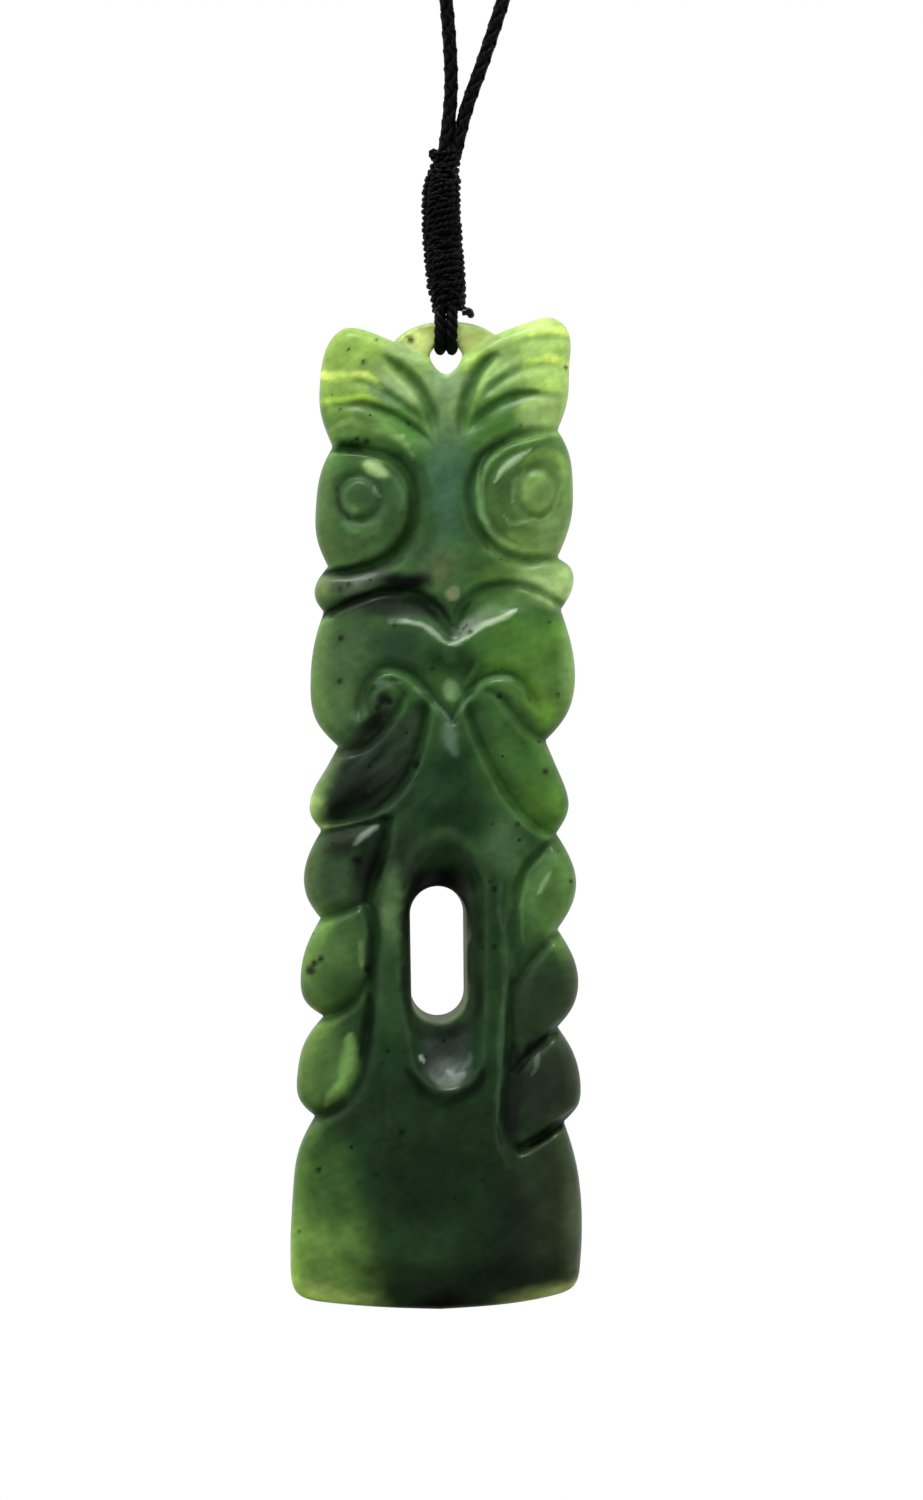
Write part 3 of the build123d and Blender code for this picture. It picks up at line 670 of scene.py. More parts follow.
def near_line(line, reach):
    """For each cell: how far it is from a line, the side it lies on, plus on the right hand of the way the
    line is drawn, and how far along the line its nearest point is."""
    away = np.full(across.shape, float(reach))
    side = np.zeros(across.shape)
    along = np.zeros(across.shape)
    travelled = 0.0
    for start, end in zip(line[:-1], line[1:]):
        run = end - start
        length = math.hypot(*run)
        low = ((np.minimum(start, end) - reach) - (chart_across[0], chart_down[0])) / cell
        high = ((np.maximum(start, end) + reach) - (chart_across[0], chart_down[0])) / cell
        columns = slice(max(0, int(low[0])), max(0, int(high[0]) + 2))
        rows = slice(max(0, int(low[1])), max(0, int(high[1]) + 2))
        x = across[rows, columns] - start[0]
        z = down[rows, columns] - start[1]
        share = np.clip((x * run[0] + z * run[1]) / length**2, 0, 1)
        gap = np.hypot(x - share * run[0], z - share * run[1])
        nearer = gap < away[rows, columns]
        away[rows, columns][nearer] = gap[nearer]
        side[rows, columns][nearer] = np.sign(run[0] * z - run[1] * x)[nearer]
        along[rows, columns][nearer] = (travelled + share * length)[nearer]
        travelled += length
    return away, side, along, travelled


def inside(outline):
    """Which cells lie inside a closed outline."""
    crossings = np.zeros(across.shape, bool)
    for start, end in zip(outline, np.roll(outline, -1, axis=0)):
        low, high = sorted((start[1], end[1]))
        rows = (chart_down >= low) & (chart_down < high)
        if rows.any():
            edge = start[0] + (chart_down[rows] - start[1]) * (end[0] - start[0]) / (end[1] - start[1])
            crossings[rows] ^= chart_across[None, :] < edge[:, None]
    return crossings


def depth_inside(outline, reach):
    """For each cell: how far outside a closed outline it is, minus inside it, up to a reach."""
    away = near_line(np.concatenate([outline, outline[:1]]), reach)[0]
    return np.where(inside(outline), -away, away)


def ease(share):
    """A share from 0 to 1 that starts and ends softly."""
    share = np.clip(share, 0, 1)
    return share * share * (3 - 2 * share)


def softened(chart, times):
    """The chart with each cell mixed with its neighbours, a few times over."""
    for _ in range(times):
        for axis in (0, 1):
            chart = 0.5 * chart + 0.25 * (np.roll(chart, 1, axis) + np.roll(chart, -1, axis))
    return chart


outline = np.concatenate([smooth_line(lobe)[:-1] for lobe in left_outline]
                         + [smooth_line(lobe)[::-1][:-1] for lobe in right_outline[::-1]])
outline_reach = 2.6
edge_chart = depth_inside(outline, outline_reach)
rim_chart = depth_inside(smooth_line(rim_outline), outline_reach)

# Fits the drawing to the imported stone
drawing_low = outline.min(axis=0)
drawing_high = outline.max(axis=0)
fit = (stone_high.z - stone_low.z) / mm / (drawing_high[1] - drawing_low[1])
fit_across = stone_low.x / mm - drawing_low[0] * fit
fit_top = stone_high.z / mm + drawing_low[1] * fit


def flank_fall(share, fullness):
    """How deep a flank lies, from 1 at the line to 0 at its top."""
    share = np.clip(share, 0, 1)
    return (1 - np.where(fullness < 1, share**2, share)) ** fullness


def flank_shade(share, fullness):
    """How much shade is painted on a flank: a burr's hollow nearly to its top, a rubbed one near the line
    only.
    """
    return flank_fall(share, np.where(fullness < 1, 0.45, 3.0))


# How deep the front is carved, and how much shade to paint into the cuts, since less light comes back out of
# a hollow
cut = np.zeros(across.shape)
cut_shade = np.zeros(across.shape)
blend_power = 3
# A line starts this far into its run, and keeps this share of its width at its very end
end_share = 0.04
end_width = 0.4
for points, depth, left_flank, right_flank, start_run, end_run in carved_lines.values():
    away, side, along, length = near_line(smooth_line(points), max(left_flank[0], right_flank[0]))
    starting = ease(along / (abs(start_run) + 0.01) + end_share)
    ending = ease((length - along) / (abs(end_run) + 0.01) + end_share)
    run_out = (starting if start_run >= 0 else 1) * (ending if end_run >= 0 else 1)
    flank, fullness = [np.where(side > 0, right, left) for left, right in zip(left_flank, right_flank)]
    share = away / (flank * (end_width + (1 - end_width) * starting * ending))
    cut += (depth * run_out * flank_fall(share, fullness)) ** blend_power
    cut_shade += (min(1, depth) * run_out * flank_shade(share, fullness)) ** blend_power
foot_line, crest_line = smooth_line(lip_foot), smooth_line(lip_crest)
from_foot = near_line(foot_line, 5.0)[0]
from_crest = near_line(crest_line, 5.0)[0]
on_lip = inside(np.concatenate([foot_line, crest_line[::-1]]))
up_lip = from_foot / np.maximum(from_foot + from_crest, 0.01)
kept = 1 - ease((np.abs(across - lip_middle) - lip_reach) / lip_run_out)
cut += np.where(on_lip, kept * lip_depth * flank_fall(up_lip, burr), 0) ** blend_power
for middle, half_width, half_height, depth, inner_flank, outer_flank in pupil_rings.values():
    angle = np.linspace(0, 2 * math.pi, 41)
    ring = np.stack([middle[0] + half_width * np.cos(angle), middle[1] + half_height * np.sin(angle)], axis=1)
    away = depth_inside(ring[:-1], outer_flank[0])
    flank, fullness = [np.where(away < 0, inner, outer) for inner, outer in zip(inner_flank, outer_flank)]
    share = np.abs(away) / flank
    cut += (depth * flank_fall(share, fullness)) ** blend_power
    cut_shade += (depth * flank_shade(share, fullness)) ** blend_power
cut = cut ** (1 / blend_power)
cut_shade = softened(cut_shade ** (1 / blend_power), 3)

# The scoop is a trough with a round section all down its length
trough_start, trough_end = scoop_sections[0, 0], scoop_sections[-1, 0]
trough_middle = np.interp(down, scoop_sections[:, 0], scoop_sections[:, 1])
trough_half = np.interp(down, scoop_sections[:, 0], scoop_sections[:, 2])
past_start = np.maximum(trough_start - down, 0) / (trough_start - scoop_top)
past_end = np.maximum(down - trough_end, 0) / (scoop_foot - trough_end)
trough_share = np.sqrt(((across - trough_middle) / trough_half) ** 2 + past_start**2 + past_end**2)
fullness = scoop_crisp + (scoop_soft - scoop_crisp) * ease(1.2 * past_start)
scoop_cut = scoop_depth * (1 - np.clip(trough_share, 0, 1) ** 2) ** fullness


def slot_edge(place, chart_x, chart_z):
    """How far outside the slot a point is, minus inside it. The slot leans a little on its way through."""
    share = (place - slot_front_place) / (slot_back_place - slot_front_place)
    top_middle, foot_middle, top_half, foot_half, top, foot = [
        front + (back - front) * share for front, back in zip(slot_front, slot_back)
    ]
    lower = np.clip((chart_z - top) / (foot - top), 0, 1)
    middle = top_middle + (foot_middle - top_middle) * lower
    half = top_half + (foot_half - top_half) * lower
    straight = np.clip(chart_z, top + half, foot - half)
    return np.hypot(chart_x - middle, chart_z - straight) - half


swell = np.zeros(across.shape)
for middle, half_width, half_height, turned_by, height in swells.values():
    tilt = math.radians(turned_by)
    x = (across - middle[0]) * math.cos(tilt) - (down - middle[1]) * math.sin(tilt)
    z = (across - middle[0]) * math.sin(tilt) + (down - middle[1]) * math.cos(tilt)
    swell += height * np.clip(1 - (x / half_width) ** 2 - (z / half_height) ** 2, 0, 1) ** 1.5


def foot_at(across_stone):
    """How far down the foot's edge lies: a flat curve that is lowest in the middle."""
    return 90.0 - 0.011 * across_stone**2


crown = (across / thickness_side) ** 2
front_middle, front_side, back_middle, back_side = [
    np.interp(down, thickness[:, 0], thickness[:, column]) for column in range(1, 5)
]
front = front_middle - (front_middle - front_side) * crown
back = back_middle - (back_middle - back_side) * crown
bevel_rise = np.clip(foot_at(across) - down, -1, None) / bevel_length
front_bevel = blade_edge_half + (front - blade_edge_half) * bevel_rise
back_bevel = blade_edge_half + (back - blade_edge_half) * bevel_rise
# The carved lines stay crisp, and the scoop is rubbed smooth
carved = softened(cut, 4) + softened(scoop_cut, 12)


def lower_of(first, second, blend):
    """The lower of two heights, with the corner between them rounded."""
    share = np.clip(0.5 + 0.5 * (second - first) / blend, 0, 1)
    return second * (1 - share) + first * share - blend * share * (1 - share)


# The corner at the bevel's top is rounded, and so are the sides, by a share of the stone's thickness there
bevel_round = 0.5
side_round_share = 0.85
side_round_least = 0.2
front_round_most = 1.5
back_round_most = 1.1
front_chart = softened(lower_of(front + swell - carved, front_bevel, bevel_round), 2)
back_chart = softened(lower_of(back, back_bevel, bevel_round), 2)
front_round = np.clip(side_round_share * front_chart, side_round_least, front_round_most)
back_round = np.clip(side_round_share * back_chart, side_round_least, back_round_most)


def read_chart(chart, x, z):
    """The chart's value at points between its cells."""
    column = np.clip((x - chart_across[0]) / cell, 0, chart.shape[1] - 1.001)
    row = np.clip((z - chart_down[0]) / cell, 0, chart.shape[0] - 1.001)
    c = column.astype(int)
    r = row.astype(int)
    u = column - c
    v = row - r
    return ((chart[r, c] * (1 - u) + chart[r, c + 1] * u) * (1 - v)
            + (chart[r + 1, c] * (1 - u) + chart[r + 1, c + 1] * u) * v)


def both(first, second, radius):
    """Where two solids overlap, with the edge between their faces rounded."""
    corner = np.hypot(np.maximum(first + radius, 0), np.maximum(second + radius, 0))
    return np.minimum(np.maximum(first, second), -radius) + corner


rim_half = 1.0
rim_round = 0.45
hole_round = 0.35
hole_stretch = 1.28
hole_point = 1.7
hole_point_above = 1.45
slot_round = 0.35
rim_blend = 0.35


def outside_stone(x, y, z):
    """How far a point is outside the stone's skin, minus inside it. y is forward minus, z is down."""
    before_front = -y - read_chart(front_chart, x, z)
    face = both(read_chart(edge_chart, x, z), before_front, read_chart(front_round, x, z))
    body = both(face, y - read_chart(back_chart, x, z), read_chart(back_round, x, z))
    rim = both(read_chart(rim_chart, x, z), np.abs(y) - rim_half, rim_round)
    joined = lower_of(body, rim, rim_blend)
    beside = np.abs(x - hole_middle[0])
    below = np.maximum(z - hole_middle[1], 0) / hole_stretch
    above = np.maximum(hole_middle[1] - z, 0)
    lower_half = (beside**hole_point + below**hole_point) ** (1 / hole_point)
    upper_half = (beside**hole_point_above + above**hole_point_above) ** (1 / hole_point_above)
    hole = np.where(z > hole_middle[1], lower_half, upper_half) - hole_radius
    drilled = both(joined, -hole, hole_round)
    return both(drilled, -slot_edge(y, x, z), slot_round)


def slope(x, y, z, step=0.06):
    """Which way is out of the stone at points, and how fast the distance grows that way."""
    return np.stack([
        (outside_stone(x + step, y, z) - outside_stone(x - step, y, z)) / (2 * step),
        (outside_stone(x, y + step, z) - outside_stone(x, y - step, z)) / (2 * step),
        (outside_stone(x, y, z + step) - outside_stone(x, y, z - step)) / (2 * step),
    ], axis=-1)


# The skin: a corner in each small cube that the surface crosses, and a face for each edge that it crosses
cube = 0.26
margin = 0.5
before_stone = -4.9
behind_stone = 3.9
grid_x = np.arange(drawing_low[0] - margin, drawing_high[0] + margin + cube, cube)
grid_y = np.arange(before_stone, behind_stone, cube)
grid_z = np.arange(drawing_low[1] - margin, drawing_high[1] + margin + cube, cube)
grid = np.meshgrid(grid_x, grid_y, grid_z, indexing="ij")
solid = outside_stone(*grid) < 0
eight = [solid[i:solid.shape[0] - 1 + i, j:solid.shape[1] - 1 + j, k:solid.shape[2] - 1 + k].astype(np.int8)
         for i in (0, 1) for j in (0, 1) for k in (0, 1)]
filled = sum(eight)
crossed = (filled > 0) & (filled < 8)
corner_number = np.full(crossed.shape, -1)
corner_number[crossed] = np.arange(crossed.sum())
in_x, in_y, in_z = np.argwhere(crossed).T
skin = np.stack([grid_x[in_x], grid_y[in_y], grid_z[in_z]], axis=1) + cube / 2
quads = []
for axis in range(3):
    first, second = [other for other in range(3) if other != axis]
    starts = [slice(1, -1)] * 3
    starts[axis] = slice(0, -1)
    ends = [slice(1, -1)] * 3
    ends[axis] = slice(1, None)
    change = solid[tuple(ends)].astype(np.int8) - solid[tuple(starts)].astype(np.int8)
    for sign in (1, -1):
        cells = np.argwhere(change == sign)
        cells[:, [first, second]] += 1
        around = []
        for back_first, back_second in ((0, 0), (1, 0), (1, 1), (0, 1)):
            spot = cells.copy()
            spot[:, first] -= back_first
            spot[:, second] -= back_second
            around.append(corner_number[spot[:, 0], spot[:, 1], spot[:, 2]])
        ring = np.stack(around, axis=1)
        flip = (sign == 1) == (axis == 1)
        quads.append(ring[:, ::-1] if flip else ring)
quads = np.concatenate(quads)


longest_move = 0.3
least_steep = 0.05


def onto_skin(points, times):
    """Moves points onto the surface."""
    for _ in range(times):
        way_out = slope(*points.T)
        steep = np.maximum((way_out**2).sum(axis=1), least_steep)
        step = np.clip(outside_stone(*points.T) / steep, -longest_move, longest_move)
        points = points - way_out * step[:, None]
    return points


def evened(points):
    """Moves each corner half way to the middle of its neighbours."""
    total = np.zeros_like(points)
    count = np.zeros(len(points))
    for near, far in ((0, 1), (1, 2), (2, 3), (3, 0)):
        np.add.at(total, quads[:, near], points[quads[:, far]])
        np.add.at(count, quads[:, near], 1)
        np.add.at(total, quads[:, far], points[quads[:, near]])
        np.add.at(count, quads[:, far], 1)
    return 0.5 * points + 0.5 * total / count[:, None]


skin = onto_skin(skin, 3)
for _ in range(2):
    skin = onto_skin(evened(skin), 2)
out = unit(slope(*skin.T))
corners = np.stack([fit_across + fit * skin[:, 0], skin[:, 1], fit_top - fit * skin[:, 2]], axis=1) * mm
normals = out * (1, 1, -1)

# Colour of the stone, from the top down, before clouds and flaws: (down, colour)
base_colours = [
    (0, "#93b35e"), (5, "#84a556"), (10, "#527a3c"), (15, "#41683a"), (22, "#456a3a"), (27, "#3a5e32"),
    (34, "#37592e"), (42, "#284526"), (52, "#264022"), (62, "#243e22"), (72, "#20361f"), (82, "#1d331e"),
    (90, "#1c2c19"),
]
# Clouds and bands in the stone, and patches of painted shade, sheen, reflection and glow: (middle, half
# width, half height, degrees turned clockwise, colour, strength)
clouds_and_painted_light = {
    "left brow lime": ((-9.5, 3.5), 4.0, 4.5, 0, "#8dae53", 0.9),
    "rim, left": ((-3.0, 2.0), 1.9, 1.3, 0, "#d3e092", 0.9),
    "rim, left edge": ((-4.4, 0.9), 1.2, 0.6, -30, "#86a25e", 0.8),
    "rim, right": ((3.4, 1.9), 1.6, 0.9, 15, "#9cb06a", 0.8),
    "rim, right edge": ((2.0, 0.3), 2.6, 0.5, 10, "#8fa66c", 0.9),
    "left brow foot": ((-8.6, 9.6), 3.2, 1.5, 0, "#567737", 0.85),
    "left brow inner green": ((-3.7, 9.0), 3.4, 1.5, 38, "#48702f", 0.9),
    # Painted sheen on the ridge between the left brow's inner and middle grooves
    "left brow haze": ((-4.6, 6.2), 2.3, 0.9, 45, "#97b27c", 0.9),
    "left brow by the rim": ((-3.4, 3.4), 2.6, 1.1, 25, "#7d9966", 0.85),
    "right brow lime": ((9.3, 3.0), 4.4, 5.0, 0, "#a6c870", 0.9),
    "right brow inner": ((4.9, 5.2), 2.5, 1.3, -40, "#9bbe78", 0.9),
    "right brow inner green": ((4.0, 8.9), 3.6, 1.9, -36, "#416c2c", 0.9),
    "forehead top": ((0.1, 6.0), 2.2, 1.6, 0, "#9ab888", 0.9),
    "forehead": ((0.1, 9.4), 2.0, 4.0, 0, "#72935f", 0.8),
    "nose bridge": ((0.2, 15.5), 2.6, 5.5, 0, "#40624a", 0.8),
    "nose": ((-0.6, 22.6), 2.4, 2.0, 0, "#526845", 0.8),
    "nose's left flank": ((-2.2, 19.4), 1.3, 3.4, 12, "#2b4a2b", 0.75),
    "nose, right of it": ((3.2, 22.8), 2.0, 1.6, 0, "#35592a", 0.8),
    "left eye": ((-6.4, 17.6), 4.6, 4.6, 0, "#3c5a33", 0.9),
    "left eye's outer side": ((-11.2, 17.5), 1.4, 4.5, 0, "#4c653a", 0.8),
    "left eye foot": ((-9.0, 21.0), 3.0, 1.4, 0, "#485f38", 0.7),
    "right eye": ((6.4, 17.2), 3.8, 5.0, 0, "#45622f", 0.9),
    "right pupil": ((8.7, 15.9), 2.4, 2.9, 0, "#769852", 0.9),
    "right eye's outer side": ((11.4, 17.0), 1.4, 5.0, 0, "#719254", 0.8),
    "right eye foot": ((8.0, 20.7), 3.6, 1.5, 0, "#7a9c54", 0.85),
    "right brow's shadow": ((7.6, 11.5), 3.0, 0.9, -8, "#4a6e34", 0.7),
    "left lip band": ((-8.8, 23.9), 3.2, 1.3, 0, "#434f3e", 0.9),
    "left lip pale": ((-8.2, 23.95), 1.2, 0.55, -20, "#566350", 0.6),
    "left lip tip": ((-11.4, 24.6), 1.2, 1.4, 0, "#596b43", 0.8),
    "left lip black": ((-3.6, 23.8), 3.2, 0.85, -2, "#060906", 1.0),
    # Painted shade along the left lip's carved line
    "left lip streak": ((-6.8, 25.3), 4.2, 0.7, -8, "#0b100b", 0.9),
    "nose patch above": ((-0.6, 23.3), 0.7, 0.9, 0, "#6c7c50", 0.7),
    "right lip band": ((5.6, 23.3), 2.8, 1.0, 0, "#597c3d", 0.9),
    "right lip tip": ((9.6, 24.2), 3.0, 1.8, 0, "#a9c983", 0.95),
    # Painted shade on the left lip's slope below its carved line
    "left lip facet": ((-5.0, 26.2), 5.8, 1.2, -3, "#1d281c", 0.95),
    "right lip facet": ((5.4, 25.2), 3.2, 1.1, -5, "#557c3c", 0.8),
    # Painted reflection on the right lip's slope by the V
    "right lip white": ((2.2, 28.0), 1.5, 0.8, -30, "#8a9b83", 0.75),
    "left cheek": ((-9.0, 31.0), 4.0, 4.5, 0, "#465f3c", 0.9),
    "left cheek foot": ((-10.4, 34.8), 2.2, 2.6, 0, "#516e43", 0.8),
    "left cheek middle": ((-4.2, 29.6), 2.6, 2.0, 0, "#2e462f", 0.9),
    "mouth": ((0.8, 30.9), 2.8, 1.5, 0, "#233c1f", 0.9),
    "mouth's pale spot": ((0.2, 30.6), 0.8, 0.8, 0, "#40603a", 0.7),
    "right lip facet pale": ((3.6, 26.6), 1.1, 0.6, -30, "#7b9a68", 0.6),
    "right cheek": ((7.2, 30.2), 4.4, 3.7, 0, "#507931", 0.9),
    "right cheek foot": ((8.4, 34.6), 3.2, 3.6, 0, "#56793a", 0.8),
    "right cheek lime": ((8.3, 34.8), 1.1, 2.2, -25, "#638f2c", 0.8),
    "right cheek edge": ((11.6, 31.2), 1.3, 4.4, 0, "#6c8e55", 0.8),
    "left curl inside": ((-6.0, 35.0), 1.6, 1.6, 0, "#384f34", 0.9),
    "right curl inside": ((5.2, 35.4), 1.4, 1.5, -30, "#36592a", 0.8),
    "chin": ((0.3, 37.8), 0.8, 1.3, 0, "#5a7454", 0.9),
    "left shoulder": ((-7.2, 41.2), 5.0, 4.2, -30, "#273227", 0.95),
    "left shoulder black": ((-8.6, 43.6), 4.2, 1.1, -35, "#0e120f", 0.95),
    "left cheek foot black": ((-6.6, 36.6), 1.8, 0.8, -35, "#0b0f0b", 0.95),
    "left shoulder's outer edge": ((-11.4, 41.8), 1.3, 2.8, 25, "#4a5e41", 0.8),
    "left shoulder tip": ((-12.2, 44.7), 1.6, 1.9, 0, "#7b9664", 0.85),
    "left shoulder inside": ((-3.6, 37.6), 1.6, 3.2, 20, "#2a3e29", 0.8),
    "right shoulder": ((7.0, 40.6), 3.6, 4.8, -20, "#436a31", 0.95),
    "right shoulder foot": ((9.0, 44.0), 2.6, 2.4, 0, "#557e33", 0.85),
    "body top": ((0.3, 42.0), 2.4, 3.4, 0, "#223c22", 0.9),
    "body middle": ((0.8, 45.4), 2.6, 2.0, 0, "#172d18", 0.9),
    "body left": ((-3.4, 48.4), 1.4, 3.0, 0, "#243223", 0.8),
    "body right": ((5.2, 47.6), 1.8, 2.8, 0, "#476640", 0.9),
    "left leaf one": ((-10.7, 50.3), 3.2, 4.0, 0, "#394f33", 0.95),
    # Painted shade in the grooves above and beside the left leaf one
    "left leaf one's black top": ((-8.8, 47.2), 3.0, 1.3, -8, "#131b12", 0.9),
    "left leaf one black": ((-6.9, 49.6), 1.6, 3.0, 15, "#0b110a", 0.93),
    "left leaf two": ((-10.8, 57.9), 3.3, 4.2, 0, "#496838", 0.95),
    "left leaf two foot": ((-8.7, 61.0), 2.0, 1.5, 0, "#2e4a22", 0.85),
    "left leaf three": ((-11.2, 67.2), 3.2, 4.6, 0, "#4c6a38", 0.95),
    "strip patch": ((-4.9, 53.4), 0.9, 3.4, 0, "#58754b", 0.9),
    "strip": ((-5.0, 60.5), 1.2, 4.0, 0, "#345030", 0.8),
    "right strip": ((4.4, 57.5), 1.2, 7.0, 0, "#233b20", 0.8),
    "right leaf one": ((9.4, 52.4), 3.2, 5.0, 0, "#4e723c", 0.95),
    "right leaf two": ((9.6, 62.0), 3.0, 3.6, 0, "#293824", 0.95),
    "right leaf three": ((9.4, 69.8), 3.2, 4.6, 0, "#273125", 0.95),
    # Painted shade at the top of the scoop, which slopes away from the light
    "scoop top": ((-0.5, 51.0), 3.4, 1.5, 0, "#080c08", 1.0),
    "scoop left": ((-3.2, 57.0), 0.8, 6.0, 0, "#16240f", 0.8),
    "scoop right": ((2.6, 57.0), 0.8, 6.0, 0, "#14220f", 0.8),
    # Painted sheen on the foot of the scoop, which faces up to the light
    "scoop foot": ((0.0, 66.2), 2.2, 2.0, 0, "#333d38", 0.9),
    "scoop foot pale": ((0.1, 68.1), 2.0, 1.0, 0, "#566058", 0.85),
    "blade left, far": ((-13.6, 86.0), 9.4, 12.0, 0, "#2c4a25", 0.6),
    "blade left": ((-14.2, 84.0), 6.4, 9.5, 0, "#4f7136", 0.95),
    "blade left foot": ((-12.6, 87.0), 6.0, 4.6, 0, "#789f4d", 0.85),
    "blade middle": ((-0.6, 78.0), 6.0, 4.0, 0, "#182918", 0.8),
    "blade middle, lower": ((-2.8, 85.0), 4.4, 3.2, 0, "#2c4527", 0.7),
    "blade right": ((9.2, 81.0), 4.2, 8.0, 0, "#2c3926", 0.95),
    "blade right of the middle": ((6.0, 82.4), 2.4, 5.5, 0, "#141f14", 0.75),
    "blade right edge": ((12.2, 83.6), 1.7, 8.0, 0, "#47533c", 0.85),
    # Painted shade on the bevel at the foot, which faces down, blackest in the middle
    "foot shade": ((2.6, 88.2), 8.4, 1.1, 0, "#272e21", 0.7),
    "foot black": ((-0.2, 90.2), 2.7, 1.9, 0, "#010101", 1.0),
    # Painted glow where light passes through the thin right corner of the foot
    "foot's right corner": ((11.0, 88.3), 2.2, 0.7, -20, "#a4ae74", 0.9),
}
# Patches with a crisp edge, in the same columns
patches = {
    "left eye patch": ((-6.3, 13.7), 1.35, 0.85, 12, "#a0bc80", 0.95),
    "left pupil patch": ((-8.7, 17.4), 0.8, 0.75, 40, "#5a7a48", 0.8),
    "right brow foot": ((9.7, 8.7), 3.3, 2.1, 0, "#a2c174", 0.78),
    "right eye's lower plate": ((10.2, 19.8), 2.0, 2.3, 0, "#7c9c60", 0.6),
    "nose patch": ((0.6, 25.1), 0.65, 0.7, 35, "#79845f", 0.9),
    "tongue patch": ((0.4, 33.8), 0.75, 1.05, -12, "#688858", 0.9),
    "left brow speck, upper": ((-4.0, 10.9), 0.6, 0.35, 30, "#8aa96c", 0.8),
    "left brow speck, lower": ((-3.0, 12.6), 0.35, 0.5, 0, "#7f9f64", 0.8),
}
